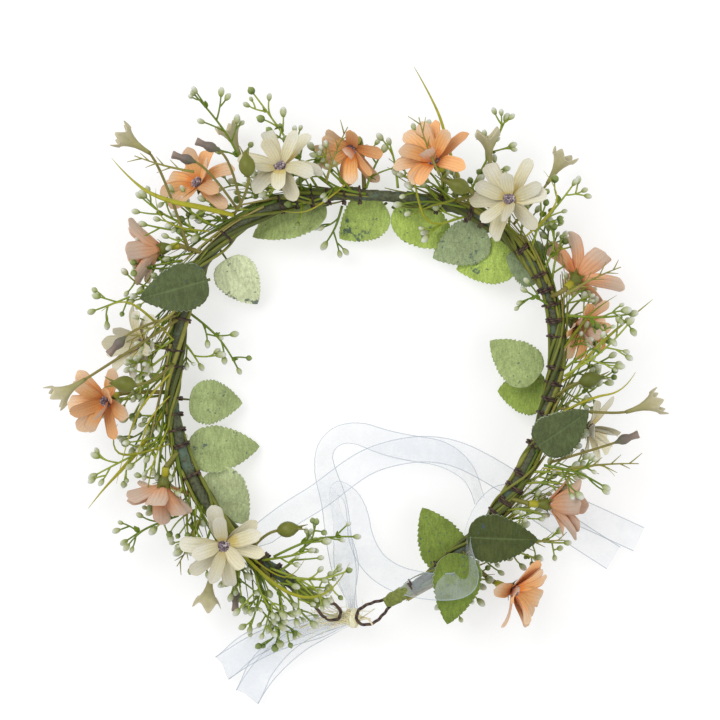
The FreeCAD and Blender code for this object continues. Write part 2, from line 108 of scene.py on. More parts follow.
# Leaves: node, body, base, (azimuth, elevation), roll, length, shade from
# 0 (pale underside) to 1 (dark face).
LEAVES = (
    ("leaf_front_left", "front_left_leaf", (-73, 74, 17), (-57, -16), 12, 33, 0.0),
    ("leaves_left", "left_side", (-80, 59, 33), (196, 6), -10, 33, 0.9),
    ("leaves_left", "left_side", (-22, 98, 17), (200, -8), 18, 40, 0.45),
    ("leaves_left", "left_side", (8, 98, 12), (216, -14), 0, 28, 0.55),
    ("leaf_side_left", "side_left_leaf", (-93, 0, 17), (-5, -16), 8, 32, 0.4),
    ("leaves_left", "left_side", (-88, -26, 16), (4, -16), -8, 36, 0.4),
    ("leaves_left", "left_side", (-78, -38, 14), (-57, -14), 0, 33, 0.24),
    ("leaves_right", "right_side", (16, 96, 15), (-30, -11), 0, 37, 0.62),
    ("leaves_right", "right_side", (60, 84, 13), (206, -8), -12, 29, 0.76),
    ("leaves_right", "right_side", (75, 72, 12), (190, -9), 8, 30, 0.6),
    ("leaves_right", "right_side", (88, 67, 18), (163, -8), 0, 18, 0.8),
    ("leaf_side_right", "side_right_leaf", (89.5, 8.5, 19), (141, -10), 0, 35, 0.42),
    ("leaves_right", "right_side", (90, 4, 11), (180, -18), 0, 24, 0.64),
    ("leaves_right", "right_side", (86, -22, 36), (35, 14), 15, 29, 0.9),
    ("leaves_right", "right_side", (52, -68, 33), (-2, 5), 0, 33, 0.95),
    ("leaves_right", "right_side", (44, -84, 16), (118, -6), 0, 33, 0.68),
    ("leaves_right", "right_side", (48, -78, 31), (-104, 4), 10, 34, 0.7),
)

# Sprigs: side, length, root, azimuth, elevation, roll.
SPRIGS = (
    ("left", 58, (-24, 106, 20), 122, 2, 0),
    ("left", 58, (-55, 101, 24), 110, 7, 30),
    ("left", 30, (-86, 86, 22), 158, 4, 0),
    ("left", 40, (-100, 60, 24), 205, -8, 0),
    ("left", 30, (-104, 2, 17), 188, -8, 0),
    ("left", 40, (-100, -20, 24), 205, -6, 0),
    ("left", 20, (-96, 34, 17), -50, -10, 0),
    ("left", 40, (-92, 46, 18), -36, -8, 0),
    ("left", 30, (-94, -58, 22), 200, -10, 0),
    ("left", 30, (-52, -86, 20), 262, -10, 0),
    ("left", 40, (-56, -84, 22), 290, -6, 0),
    ("left", 40, (-46, -78, 28), 28, 2, 0),
    ("left", 30, (-40, -88, 27), -8, 6, 0),
    ("left", 30, (-44, -94, 18), -84, -6, 0),
    ("left", 20, (-12, 98, 16), 255, -10, 0),
    ("right", 30, (22, 108, 20), 75, -2, 0),
    ("right", 40, (52, 104, 22), 62, 0, 0),
    ("right", 30, (84, 84, 26), 48, 10, 0),
    ("right", 30, (99, 42, 38), -6, 8, 0),
    ("right", 40, (98, 12, 34), 32, 14, 0),
    ("right", 20, (101, 8, 20), 3, -6, 0),
    ("right", 30, (88, -32, 35), 352, 16, 0),
    ("right", 20, (68, -70, 22), 320, -12, 0),
    ("right", 30, (72, -64, 18), 330, -12, 0),
    ("right", 20, (49, -87, 14), 262, -6, 0),
)

# Larger buds and flowers: side, root, place, azimuth, elevation.
OLIVE_BUDS = (
    ("left", (-66, 92, 28), (-57, 109, 53), 97, 4),
    ("left", (-96, 18, 28), (-112, 8, 51), 176, 4),
    ("left", (-58, -76, 24), (-44, -65, 28), 8, 4),
    ("right", (95, 2, 28), (106, 9, 34), 14, 0),
    ("right", (44, 99, 27), (50, 103, 46), 160, 4),
)
TRUMPETS = (
    ("left", (-88, 74, 28), (-107, 122, 42), 148, 8),
    ("left", (-94, 40, 28), (-137, 10, 53), 212, 4),
    ("left", (-44, 100, 18), (-64, 124, 14), 112, 0),
    ("left", (-74, -62, 20), (-78, -88, 20), 262, -8),
    ("right", (96, -4, 28), (128, -5, 46), 18, 4),
    ("right", (60, 98, 24), (62, 118, 26), 95, 10),
    ("right", (74, 88, 22), (92, 110, 19), 58, 2),
)
TUBE_BUDS = (
    ("left", (-62, 96, 30), (-72, 122, 50), 158, 6),
    ("left", (-64, 95, 30), (-84, 117, 44), 162, 6),
    ("left", (-95, 42, 28), (-118, 31, 45), 226, 4),
    ("left", (-62, -78, 20), (-66, -96, 14), 268, -8),
    ("right", (92, -31, 28), (122, -20, 47), 20, 8),
)
# Grass blades: side, route, half width.
GRASS = (
    ("left", ((-66, 92, 30), (-80, 95, 40), (-98, 98, 42), (-114, 106, 38), (-126, 120, 34)), 1.5),
    ("left", ((-100, -4, 24), (-110, -20, 20), (-122, -34, 15), (-134, -46, 10), (-142, -56, 6)), 0.9),
    ("left", ((-62, -76, 30), (-46, -92, 34), (-28, -99, 36), (-14, -92, 36), (-8, -80, 36)), 0.75),
    ("right", ((52, 98, 22), (45, 115, 19), (40.5, 131, 20), (35.5, 147, 24), (24, 166, 28)), 0.85),
    ("right", ((98, 9, 28), (108, 20, 32), (120, 32, 35), (132, 42, 35), (142, 50, 33)), 0.9),
)

# Ribbon routes: x, y, z, bank in degrees (0 lies flat, 90 stands on edge).
TIE_ARCH = (
    (-6, -108, 13, 50), (-10, -92, 7, 20), (-14, -72, 5, 6), (-16, -52, 5, 4), (-21, -38, 6, 8),
    (-22, -26, 7, 20), (-15, -18, 9, 50), (-4, -17, 10, 50), (9, -22, 9, 20), (23, -25, 8, 10),
    (38, -27, 8, 15), (48, -33, 9, 40), (55, -41, 9, 60), (58, -52, 8, 60),
)
TIE_FRONT = (
    (-8, -107, 12, 40), (-9, -92, 6, 12), (-12, -68, 4, 6), (-17, -52, 6, 50), (-15, -44, 9, 76),
    (-8, -48, 9, 60), (-4, -58, 8, 30), (-3, -71, 9, 20), (3, -83, 13, 14), (14, -90, 20, 10),
    (28, -92.5, 29, 8), (42, -92.5, 34, 15), (50.5, -90, 34, 66), (51, -79, 31, 84),
    (50, -69, 26, 66), (56, -58, 20, 25), (67, -48, 15, 10), (80, -50, 11, 6),
    (96, -61, 7, 4), (112, -72, 4, 3), (127, -81.5, 3, 0),
)
TIE_LEFT = (
    (-62, -76, 16, 50), (-54, -70, 9, 20), (-38, -58, 6, 8), (-24, -50, 5, 4), (-9, -38, 6, 10),
    (2, -31, 7, 16), (15, -27, 8, 12), (30, -25, 8, 8), (45, -27, 9, 12), (60, -34, 9, 8),
    (76, -44, 9, 6), (95, -52, 6, 4), (112, -59, 4, 2), (140, -72, 3, 0),
)
# Bow loops, from the knot out along the lower layer and back along the upper.
BOW_LOOPS = (
    ((-3, -110, 15, 30), (-14, -113, 12, 20), (-29, -117, 6, 8), (-46, -122, 4, 4),
     (-60, -129, 3.4, 2), (-71.5, -136.5, 3.4, 0), (-74, -138, 5, 0), (-70, -135, 7, 0),
     (-62, -127, 8, 8), (-49, -120, 9, 16), (-30, -115.5, 11, 24), (-14, -112, 14, 30),
     (-3, -110, 16, 40)),
    ((-4, -112, 14, 30), (-14, -114.5, 11, 20), (-28, -118.5, 5, 8), (-41, -128, 3.4, 4),
     (-52, -139, 2.8, 2), (-58.5, -148.5, 2.8, 0), (-61.5, -154, 4.2, 0), (-58, -147, 6, 0),
     (-54, -137, 7, -8), (-44, -126, 8, -16), (-30, -117.5, 10, -20), (-14, -113, 13, 10),
     (-4, -111, 15, 40)),
)
KNOT_PLACE = Vector((-6.5, -110.5, 15))


# ---- placing and curves ----------------------------------------------------
def turn(angle, axis):
    return Matrix.Rotation(math.radians(angle), 4, axis)


def aim_x(place, azimuth, elevation, roll=0):
    """Takes a shape made along +X to its place and heading."""
    return Matrix.Translation(place) @ turn(azimuth, "Z") @ turn(-elevation, "Y") @ turn(roll, "X")


def aim_z(place, azimuth, elevation, spin=0):
    """Takes a shape made along +Z to its place and heading."""
    return Matrix.Translation(place) @ turn(azimuth, "Z") @ turn(90 - elevation, "Y") @ turn(spin, "Z")


def aim_along(place, direction):
    """Takes a shape made along +X to its place, along a direction."""
    track = direction.normalized().to_track_quat("X", "Z")
    return Matrix.Translation(place) @ track.to_matrix().to_4x4()


def heading(azimuth, elevation):
    return aim_x((0, 0, 0), azimuth, elevation) @ Vector((1, 0, 0))


def smooth(points, steps=5):
    """Points along a curve that rounds a route's corners and keeps its ends."""
    route = [Vector(p) for p in points]
    if len(route) == 2:
        return [route[0].lerp(route[1], i / steps) for i in range(steps + 1)]
    joins = [(a + b) / 2 for a, b in zip(route[1:], route[2:-1])]
    joins = [route[0]] + joins + [route[-1]]
    curve = []
    for start, corner, end in zip(joins, route[1:-1], joins[1:]):
        for i in range(steps):
            t = i / steps
            curve.append(start.lerp(corner, t).lerp(corner.lerp(end, t), t))
    return curve + [route[-1]]


def evenly(curve, spacing):
    """The same curve with points at even spacing."""
    lengths = [0.0]
    for a, b in zip(curve, curve[1:]):
        lengths.append(lengths[-1] + (b - a).length)
    count = max(2, int(lengths[-1] / spacing))
    spots = []
    k = 0
    for i in range(count + 1):
        want = lengths[-1] * i / count
        while k < len(curve) - 2 and lengths[k + 1] < want:
            k += 1
        span = max(lengths[k + 1] - lengths[k], 1e-9)
        spots.append(curve[k].lerp(curve[k + 1], (want - lengths[k]) / span))
    return spots


def frames(curve):
    """Tangent and two side vectors at each point, carried along without twist."""
    side = None
    result = []
    for i, point in enumerate(curve):
        ahead = curve[min(i + 1, len(curve) - 1)] - curve[max(i - 1, 0)]
        ahead.normalize()
        if side is None:
            side = ahead.orthogonal()
        side = (side - ahead * side.dot(ahead)).normalized()
        result.append((point, ahead, side, ahead.cross(side)))
    return result


def ease(t):
    t = min(1.0, max(0.0, t))
    return t * t * (3 - 2 * t)


# ---- collecting a piece's faces ---------------------------------------------
class Sheaf:
    """The faces of one piece, with three numbers on each point for its paint:
    shade (one per part), along (0 at the root, 1 at the tip) and across."""

    def __init__(self):
        self.points = []
        self.faces = []
        self.marks = []

    def grid(self, rows, shade, closed=False, along=(0, 1)):
        """Quads between rows of points."""
        base = len(self.points)
        columns = len(rows[0])
        for i, row in enumerate(rows):
            v = along[0] + (along[1] - along[0]) * i / (len(rows) - 1)
            for j, point in enumerate(row):
                self.points.append(Vector(point) * MM)
                self.marks.append((shade, v, j / (columns if closed else columns - 1)))
        for i in range(len(rows) - 1):
            for j in range(columns if closed else columns - 1):
                k = (j + 1) % columns
                low = base + i * columns
                self.faces.append((low + j, low + k, low + columns + k, low + columns + j))

    def tube(self, curve, radius, shade=0.5, sides=7, ridges=None):
        """A round stem along a curve; radius is a number or a function of 0..1."""
        size = radius if callable(radius) else (lambda t: radius)
        rows = []
        spots = frames(curve)
        last = len(spots) - 1
        for i, (point, ahead, side, up) in enumerate(spots):
            if i == 0:
                rows.append([point] * sides)
            row = []
            for j in range(sides):
                angle = 2 * math.pi * j / sides
                reach = size(i / last)
                if ridges:
                    reach *= ridges(i, angle)
                row.append(point + (side * math.cos(angle) + up * math.sin(angle)) * reach)
            rows.append(row)
            if i == last:
                rows.append([point] * sides)
        self.grid(rows, shade, closed=True)

    def turned(self, profile, where, shade=0.5, sides=12, lobes=None):
        """A shape turned about its own +X from (radius, distance) pairs."""
        rows = []
        for i, (radius, distance) in enumerate(profile):
            row = []
            for j in range(sides):
                angle = 2 * math.pi * j / sides
                reach = radius
                ahead = distance
                if lobes:
                    reach, ahead = lobes(angle, i / (len(profile) - 1), radius, distance)
                row.append(where @ Vector((ahead, reach * math.cos(angle), reach * math.sin(angle))))
            rows.append(row)
        self.grid(rows, shade, closed=True)

    def piece(self, name, body, paint, slot, replaced=(), thickness=0.0, levels=0):
        """The finished object, riding its body in place of its CAD nodes."""
        mesh = bpy.data.meshes.new(name)
        mesh.from_pydata(self.points, [], self.faces)
        for index, label in enumerate(("shade", "along", "across")):
            layer = mesh.attributes.new(label, "FLOAT", "POINT")
            layer.data.foreach_set("value", [mark[index] for mark in self.marks])
        mesh.polygons.foreach_set("use_smooth", [True] * len(mesh.polygons))
        mesh.validate()
        thing = bpy.data.objects.new(name, mesh)
        bpy.context.scene.collection.objects.link(thing)
        mesh.materials.append(paint)
        if thickness:
            shell = thing.modifiers.new("thickness", "SOLIDIFY")
            shell.thickness = thickness * MM
            shell.offset = 0
        if levels:
            rounding = thing.modifiers.new("rounding", "SUBSURF")
            rounding.levels = levels
            rounding.render_levels = levels
        if body:
            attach(thing, body)
        if replaced:
            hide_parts(*replaced)
        return thing


# ---- paint -------------------------------------------------------------------
class Paint:
    """A node material built a node at a time round one Principled shader."""

    def __init__(self, name, **constants):
        self.material = bpy.data.materials.new(name)
        self.material.use_nodes = True
        self.tree = self.material.node_tree
        self.shader = self.tree.nodes["Principled BSDF"]
        for socket, value in constants.items():
            self.shader.inputs[socket.replace("_", " ")].default_value = value

    def add(self, kind, **settings):
        node = self.tree.nodes.new(kind)
        for key, value in settings.items():
            setattr(node, key, value)
        return node

    def join(self, source, socket):
        self.tree.links.new(source, socket)

    def mark(self, label):
        """One of the three numbers stored on the points."""
        return self.add("ShaderNodeAttribute", attribute_name=label).outputs["Fac"]

    def noise(self, scale, detail=3.0, roughness=0.6, stretch=None, place=None):
        """Noise in object space; scale is in features a metre."""
        node = self.add("ShaderNodeTexNoise")
        node.inputs["Scale"].default_value = scale
        node.inputs["Detail"].default_value = detail
        node.inputs["Roughness"].default_value = roughness
        self.join(place or self.place(stretch), node.inputs["Vector"])
        return node.outputs["Fac"]

    def place(self, stretch=None):
        source = self.add("ShaderNodeTexCoord").outputs["Object"]
        if not stretch:
            return source
        mapping = self.add("ShaderNodeMapping")
        mapping.inputs["Scale"].default_value = stretch
        self.join(source, mapping.inputs["Vector"])
        return mapping.outputs["Vector"]

    def ramp(self, source, *stops, smoothly=True):
        """A colour ramp; each stop is (position, (r, g, b)) or (position, grey)."""
        node = self.add("ShaderNodeValToRGB")
        node.color_ramp.interpolation = "EASE" if smoothly else "LINEAR"
        elements = node.color_ramp.elements
        while len(elements) < len(stops):
            elements.new(0.5)
        for element, (position, colour) in zip(elements, stops):
            element.position = position
            if not isinstance(colour, tuple):
                colour = (colour, colour, colour)
            element.color = (*colour, 1.0)
        self.join(source, node.inputs["Fac"])
        return node.outputs["Color"]

    def mix(self, amount, first, second, blend="MIX"):
        node = self.add("ShaderNodeMix", data_type="RGBA", blend_type=blend)
        for value, index in ((amount, 0), (first, 6), (second, 7)):
            if isinstance(value, (int, float)):
                node.inputs[index].default_value = value
            elif isinstance(value, tuple):
                node.inputs[index].default_value = (*value, 1.0)
            else:
                self.join(value, node.inputs[index])
        return node.outputs[2]

    def sum(self, operation, first, second):
        node = self.add("ShaderNodeMath", operation=operation)
        for value, index in ((first, 0), (second, 1)):
            if isinstance(value, (int, float)):
                node.inputs[index].default_value = value
            else:
                self.join(value, node.inputs[index])
        return node.outputs["Value"]

    def waves(self, source, count):
        """A smooth 0..1 wave, so many times over the source's 0..1."""
        phase = self.sum("MULTIPLY", source, 2 * math.pi * count)
        half = self.sum("MULTIPLY", self.sum("COSINE", phase, 0.0), 0.5)
        return self.sum("ADD", half, 0.5)

    def bump(self, height, strength, distance):
        node = self.add("ShaderNodeBump")
        node.inputs["Strength"].default_value = strength
        node.inputs["Distance"].default_value = distance * MM
        self.join(height, node.inputs["Height"])
        self.join(node.outputs["Normal"], self.shader.inputs["Normal"])

    def colour(self, source):
        self.join(source, self.shader.inputs["Base Color"])

    def rough(self, source):
        self.join(source, self.shader.inputs["Roughness"])


def weave(paint, threads):
    """Crossed threads, so many to the metre, as a height."""
    place = paint.place()
    first = paint.add("ShaderNodeTexWave", bands_direction="X")
    second = paint.add("ShaderNodeTexWave", bands_direction="Y")
    for node in (first, second):
        node.inputs["Scale"].default_value = threads / 20.0
        node.inputs["Distortion"].default_value = 0.6
        paint.join(place, node.inputs["Vector"])
    return paint.sum("ADD", first.outputs["Fac"], second.outputs["Fac"])


def petal_paint(name, inner, outer, vein, painted_backlight):
    """Dyed petal cloth: deep colour at the root, washed out towards the tip,
    paler and greyer on the outer face, with lengthwise veins, a darker cut rim
    and a soft weave. Painted light: some petals get a brighter orange on the
    inner face, a painted backlight as if light shone through them, and each
    petal's colour is scaled brighter or darker as painted highlight and shade."""
    paint = Paint(name, Subsurface_Weight=0.12, Subsurface_Radius=(1.0, 0.7, 0.5),
                  Subsurface_Scale=0.0006, Sheen_Weight=0.08, Sheen_Roughness=0.6)
    along = paint.mark("along")
    shade = paint.mark("shade")
    across = paint.mark("across")
    cloud = paint.noise(170.0, 4.0)
    drift = paint.sum("MULTIPLY", paint.sum("SUBTRACT", cloud, 0.5), 0.5)
    reach = paint.sum("ADD", along, drift)
    reach = paint.sum("ADD", reach, paint.sum("MULTIPLY", paint.sum("SUBTRACT", shade, 0.5), 0.4))
    face = paint.ramp(reach, (0.02, inner[0]), (0.30, inner[1]), (0.85, inner[2]))
    # painted backlight: petals whose shade mark is above 0.6 take a brighter colour on the inner face, as if
    # lit from behind
    lit = paint.ramp(shade, (0.6, 0.0), (0.8, 0.6))
    face = paint.mix(lit, face, painted_backlight)
    back = paint.ramp(reach, (0.02, outer[0]), (0.30, outer[1]), (0.85, outer[2]))
    body = paint.mix(paint.ramp(across, (0.45, 0.0), (0.49, 1.0)), face, back)
    # painted highlight and shade: each petal's colour is scaled between 0.84 and 1.1 by its shade mark
    tone = paint.ramp(paint.waves(shade, 2), (0.0, 0.84), (1.0, 1.1))
    body = paint.mix(1.0, body, tone, "MULTIPLY")
    lines = paint.sum("ADD", across, paint.sum("MULTIPLY", paint.noise(300.0, 2.0), 0.05))
    streaks = paint.ramp(paint.waves(lines, 11), (0.0, 1.0), (0.35, 0.15), (1.0, 0.0))
    fade = paint.ramp(along, (0.0, 0.5), (0.9, 0.15))
    body = paint.mix(paint.sum("MULTIPLY", streaks, fade), body, vein)
    rim = paint.ramp(paint.waves(across, 2), (0.9, 0.0), (1.0, 0.4))
    body = paint.mix(rim, body, vein)
    fine = paint.noise(1900.0, 2.0, 0.7)
    body = paint.mix(0.2, body, paint.ramp(fine, (0.3, 0.35), (0.7, 1.0)), "MULTIPLY")
    paint.colour(body)
    paint.rough(paint.ramp(cloud, (0.2, 0.62), (0.8, 0.82)))
    height = paint.sum("ADD", weave(paint, 2200), paint.sum("MULTIPLY", fine, 1.4))
    paint.bump(height, 0.35, 0.06)
    return paint.material


def leaf_paint():
    """Printed leaf cloth: seven greens from a pale back to a dark face, a mottled
    weave, blue-grey blotches and lighter veins."""
    paint = Paint("leaf_cloth", Specular_IOR_Level=0.2)
    shade = paint.mark("shade")
    body = paint.ramp(
        shade, (0.0, (0.64, 0.70, 0.43)), (0.4, (0.33, 0.40, 0.17)), (0.6, (0.42, 0.55, 0.12)),
        (0.7, (0.15, 0.21, 0.033)), (0.76, (0.33, 0.40, 0.21)), (0.82, (0.21, 0.27, 0.145)),
        (0.92, (0.064, 0.082, 0.022)), smoothly=False)
    grain = paint.noise(1300.0, 3.0, 0.7)
    crepe = paint.noise(900.0, 2.0, 0.6, stretch=(1.0, 0.22, 1.0))
    cloud = paint.noise(90.0, 3.0)
    coarse = paint.ramp(shade, (0.0, 0.3), (0.4, 0.5))
    weft = paint.ramp(grain, (0.36, 0.62), (0.5, 0.97), (0.64, 1.3))
    body = paint.mix(coarse, body, weft, "MULTIPLY")
    body = paint.mix(0.35, body, paint.ramp(crepe, (0.36, 0.65), (0.62, 1.3)), "MULTIPLY")
    body = paint.mix(coarse, body, paint.ramp(cloud, (0.3, 0.75), (0.7, 1.2)), "MULTIPLY")
    vein = paint.mark("across")
    spread = paint.sum("ABSOLUTE", paint.sum("SUBTRACT", vein, 0.5), 0.0)
    rib = paint.ramp(spread, (0.0, 1.0), (0.035, 0.0))
    body = paint.mix(paint.sum("MULTIPLY", rib, 0.16), body, (0.30, 0.42, 0.18))
    rim = paint.ramp(spread, (0.485, 0.0), (0.497, 0.5))
    body = paint.mix(rim, body, (0.62, 0.70, 0.52))
    blots = paint.ramp(paint.noise(75.0, 5.0, 0.72), (0.60, 0.0), (0.65, 0.8))
    body = paint.mix(blots, body, (0.055, 0.085, 0.10))
    specks = paint.ramp(paint.noise(420.0, 2.0, 0.5), (0.68, 0.0), (0.72, 0.7))
    body = paint.mix(specks, body, (0.07, 0.10, 0.10))
    paint.colour(body)
    paint.rough(paint.ramp(grain, (0.3, 0.62), (0.7, 0.85)))
    paint.bump(paint.sum("ADD", weave(paint, 1500), paint.sum("MULTIPLY", grain, 2.0)), 0.5, 0.10)
    return paint.material


def plastic_paint(name, stops, rough=0.42, grain=900.0, mottle=0.5, ramp_mark="shade"):
    """Moulded soft plastic whose colour follows one of the marks."""
    paint = Paint(name, Specular_IOR_Level=0.3)
    body = paint.ramp(paint.mark(ramp_mark), *stops, smoothly=False)
    cloud = paint.noise(grain / 4, 4.0, 0.65)
    fine = paint.noise(grain * 2, 2.0)
    patches = paint.ramp(cloud, (0.25, 0.55), (0.5, 1.0), (0.75, 1.35))
    body = paint.mix(mottle, body, patches, "MULTIPLY")
    paint.colour(body)
    paint.rough(paint.ramp(fine, (0.3, rough - 0.1), (0.7, rough + 0.14)))
    paint.bump(fine, 0.25, 0.05)
    return paint.material


def bud_paint():
    """Sprig buds: green at the stalk, frosted white towards the tip."""
    paint = Paint("frosted_bud", Specular_IOR_Level=0.35)
    along = paint.mark("along")
    shade = paint.mark("shade")
    frost = paint.noise(520.0, 3.0, 0.7)
    edge = paint.sum("ADD", along, paint.sum("MULTIPLY", paint.sum("SUBTRACT", frost, 0.5), 0.5))
    white = paint.ramp(edge, (0.1, (0.20, 0.26, 0.035)), (0.38, (0.43, 0.46, 0.25)),
                       (0.78, (0.64, 0.66, 0.60)))
    green = paint.ramp(edge, (0.1, (0.08, 0.13, 0.02)), (0.5, (0.21, 0.27, 0.07)),
                       (0.95, (0.42, 0.47, 0.24)))
    kind = paint.ramp(shade, (0.58, 0.0), (0.68, 1.0))
    paint.colour(paint.mix(kind, white, green))
    paint.rough(paint.ramp(frost, (0.3, 0.35), (0.7, 0.6)))
    paint.bump(frost, 0.3, 0.1)
    return paint.material


def organza_paint():
    """Sheer woven ribbon: faint threads, denser corded edges."""
    paint = Paint("organza", Roughness=0.45, Sheen_Weight=0.2, Specular_IOR_Level=0.3)
    across = paint.mark("across")
    spread = paint.sum("ABSOLUTE", paint.sum("SUBTRACT", across, 0.5), 0.0)
    edge = paint.ramp(spread, (0.455, 0.0), (0.482, 1.0), smoothly=False)
    cloud = paint.noise(60.0, 3.0)
    paint.colour(paint.mix(edge, (0.70, 0.75, 0.82), (0.34, 0.41, 0.48)))
    sheer = paint.ramp(cloud, (0.38, 0.13), (0.62, 0.27))
    paint.join(paint.mix(edge, sheer, (0.75, 0.75, 0.75)), paint.shader.inputs["Alpha"])
    paint.bump(weave(paint, 2500), 0.2, 0.05)
    return paint.material


def tape_paint(name, dark, light, patch, patches):
    """Crepe tape wound in a helix, stretched and slightly waxy."""
    paint = Paint(name)
    crepe = paint.noise(700.0, 4.0, 0.7)
    cloud = paint.noise(110.0, 3.0, 0.6)
    body = paint.ramp(crepe, (0.3, dark), (0.7, light))
    body = paint.mix(paint.ramp(cloud, (patches, 0.0), (patches + 0.1, 0.85)), body, patch)
    paint.colour(body)
    paint.rough(paint.ramp(crepe, (0.3, 0.55), (0.7, 0.8)))
    paint.bump(crepe, 0.6, 0.18)
    return paint.material


def wire_paint():
    """Twisted brown paper over wire."""
    paint = Paint("paper_wire")
    twist = paint.add("ShaderNodeTexWave", bands_direction="DIAGONAL")
    twist.inputs["Scale"].default_value = 160.0
    twist.inputs["Distortion"].default_value = 1.5
    paint.join(paint.place(), twist.inputs["Vector"])
    fibre = paint.noise(1600.0, 3.0, 0.7)
    body = paint.mix(twist.outputs["Fac"], (0.022, 0.013, 0.010), (0.105, 0.058, 0.036))
    paint.colour(paint.mix(0.5, body, paint.ramp(fibre, (0.3, 0.5), (0.7, 1.3)), "MULTIPLY"))
    paint.rough(paint.ramp(fibre, (0.3, 0.6), (0.7, 0.85)))
    paint.bump(paint.sum("ADD", twist.outputs["Fac"], fibre), 0.5, 0.12)
    return paint.material


def bead_paint():
    """Stamen beads: mauve-grey glitter with dark gaps."""
    paint = Paint("stamen_beads", Coat_Weight=0.3)
    fine = paint.noise(1500.0, 2.0, 0.6)
    body = paint.ramp(paint.mark("shade"), (0.0, (0.10, 0.065, 0.085)), (0.6, (0.30, 0.23, 0.28)),
                      (1.0, (0.55, 0.48, 0.52)))
    paint.colour(paint.mix(0.6, body, paint.ramp(fine, (0.3, 0.5), (0.7, 1.4)), "MULTIPLY"))
    paint.rough(paint.ramp(fine, (0.3, 0.25), (0.7, 0.55)))
    paint.bump(fine, 0.4, 0.1)
    return paint.material


def thread_paint():
    """Ivory cord of the knot."""
    paint = Paint("ivory_thread", Sheen_Weight=0.3, Subsurface_Weight=0.1,
                  Subsurface_Scale=0.001)
    fibre = paint.noise(1200.0, 3.0, 0.7)
    tone = fine_mix(paint, fibre)
    paint.colour(paint.ramp(tone, (0.2, (0.66, 0.58, 0.30)), (0.8, (0.90, 0.86, 0.64))))
    paint.rough(paint.ramp(fibre, (0.3, 0.6), (0.7, 0.85)))
    paint.bump(fibre, 0.4, 0.1)
    return paint.material


def fine_mix(paint, fibre):
    """Half the thread's own tone, half fibre noise."""
    return paint.sum("ADD", paint.sum("MULTIPLY", paint.mark("shade"), 0.5),
                     paint.sum("MULTIPLY", fibre, 0.5))


# ---- the band -----------------------------------------------------------------
def band_curve(side=None):
    """The band's centreline, or one half of it, from above."""
    halves = {"right": BAND_RIGHT, "left": BAND_LEFT}
    route = halves[side] if side else BAND_RIGHT[:-1] + BAND_LEFT
    return evenly(smooth([(x, y, BAND_HEIGHT) for x, y in route], 8), BAND_STEP)


CURVES = {side: band_curve(side) for side in SIDE}


def nearest_on_band(side, place):
    return min(CURVES[side], key=lambda point: (point - place).length)


def helix_ridge(pitch, depth):
    """Radius factor of tape wound in a helix: each turn overlaps the last."""
    def factor(i, angle):
        lap = (i * BAND_STEP / pitch + angle / (2 * math.pi)) % 1.0
        return 1.0 + depth * (1.0 - lap) - 0.3 * depth
    return factor


def wound(curve, offset, pitch, phase, wobble):
    """A curve wound round the band at a distance, a little unevenly."""
    route = []
    for i, (point, ahead, side, up) in enumerate(frames(curve)):
        angle = phase + 2 * math.pi * i * BAND_STEP / pitch + wobble * math.sin(i * 0.021 + phase)
        reach = offset * (1.0 + 0.12 * math.sin(i * 0.05 + 3 * phase))
        route.append(point + (side * math.cos(angle) + up * math.sin(angle)) * reach)
    return route


def build_band(paints):
    rng = random.Random(11)
    sleeve = Sheaf()
    sleeve.tube(band_curve(), WRAP_RADIUS + 0.1, sides=20, ridges=helix_ridge(6.5, 0.14))
    wrap = sleeve.piece("tape_wrap", None, paints["tape"], "floral_tape",
                        ("tape_wrap_left", "tape_wrap_right"))
    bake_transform(wrap)
    for side in SIDE:
        curve = CURVES[side][6:-6 if side == "right" else -8]
        stems = Sheaf()
        for phase, offset, pitch, radius, shade in (
            (0.4, 3.6, 72, 1.0, 0.35), (2.3, 3.8, 58, 0.8, 0.55), (3.6, 3.3, 95, 1.2, 0.25),
            (5.1, 4.1, 66, 0.7, 0.75), (1.3, 3.4, 120, 1.1, 0.9), (4.3, 3.7, 140, 0.9, 0.65),
        ):
            route = wound(curve, offset, pitch, phase, 0.5)
            route = route[rng.randint(0, 12):len(route) - rng.randint(0, 12)]
            stems.tube(route[::3], lambda t: radius * min(1, 0.25 + 9 * t, 0.25 + 9 * (1 - t)),
                       shade, sides=8)
        stems.piece("vine_stems_" + side, SIDE[side], paints["stem"], "vine_plastic",
                    ("vine_stem_" + side,))
        ties = Sheaf()
        spots = frames(curve)
        step = int(8.5 / BAND_STEP)
        for start in range(8, len(spots) - 14, step):
            if rng.random() < 0.25:
                continue
            point, ahead, lateral, up = spots[start]
            coil = []
            turns = rng.choice((1.2, 1.3, 2.2))
            for k in range(int(turns * 14)):
                angle = 2 * math.pi * k / 14
                radius = 4.3 + 0.35 * math.sin(2 * angle + start)
                along = 1.2 * k / 14 - turns * 0.6
                coil.append(point + ahead * along
                            + (lateral * math.cos(angle) + up * math.sin(angle)) * radius)
            ties.tube(coil, 0.6, rng.random(), sides=7)
        ties.piece("binding_wires_" + side, SIDE[side], paints["wire"], "brown_paper_wire",
                   ("binding_wire_" + side,))
        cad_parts["core_wire_" + side].data.materials[0] = paints["wire"]
    for side, route in (("right", EYE_RIGHT), ("left", EYE_LEFT)):
        eye = Sheaf()
        eye.tube(evenly(smooth(route, 8), 0.4), 0.8, sides=10,
                 ridges=lambda i, angle: 1 + 0.18 * math.sin(angle + i * 0.55))
        eye.piece("wire_eye_" + side, SIDE[side], paints["wire"], "brown_paper_wire", ("end_eye_" + side,))
    for side, route in (("right", ((24, -94, 22), (16, -98.5, 22), (9.5, -102, 22))),
                        ("left", ((-35.5, -93.8, 22), (-29, -98, 22), (-23, -103, 22)))):
        end = Sheaf()
        end.tube(evenly(smooth(route, 8), BAND_STEP), lambda t: 3.35 - 1.0 * ease((t - 0.75) * 4),
                 sides=20, ridges=helix_ridge(4.5, 0.16))
        end.piece("end_wrap_" + side, SIDE[side], paints["end_tape"], "end_tape", ("end_tape_" + side,))


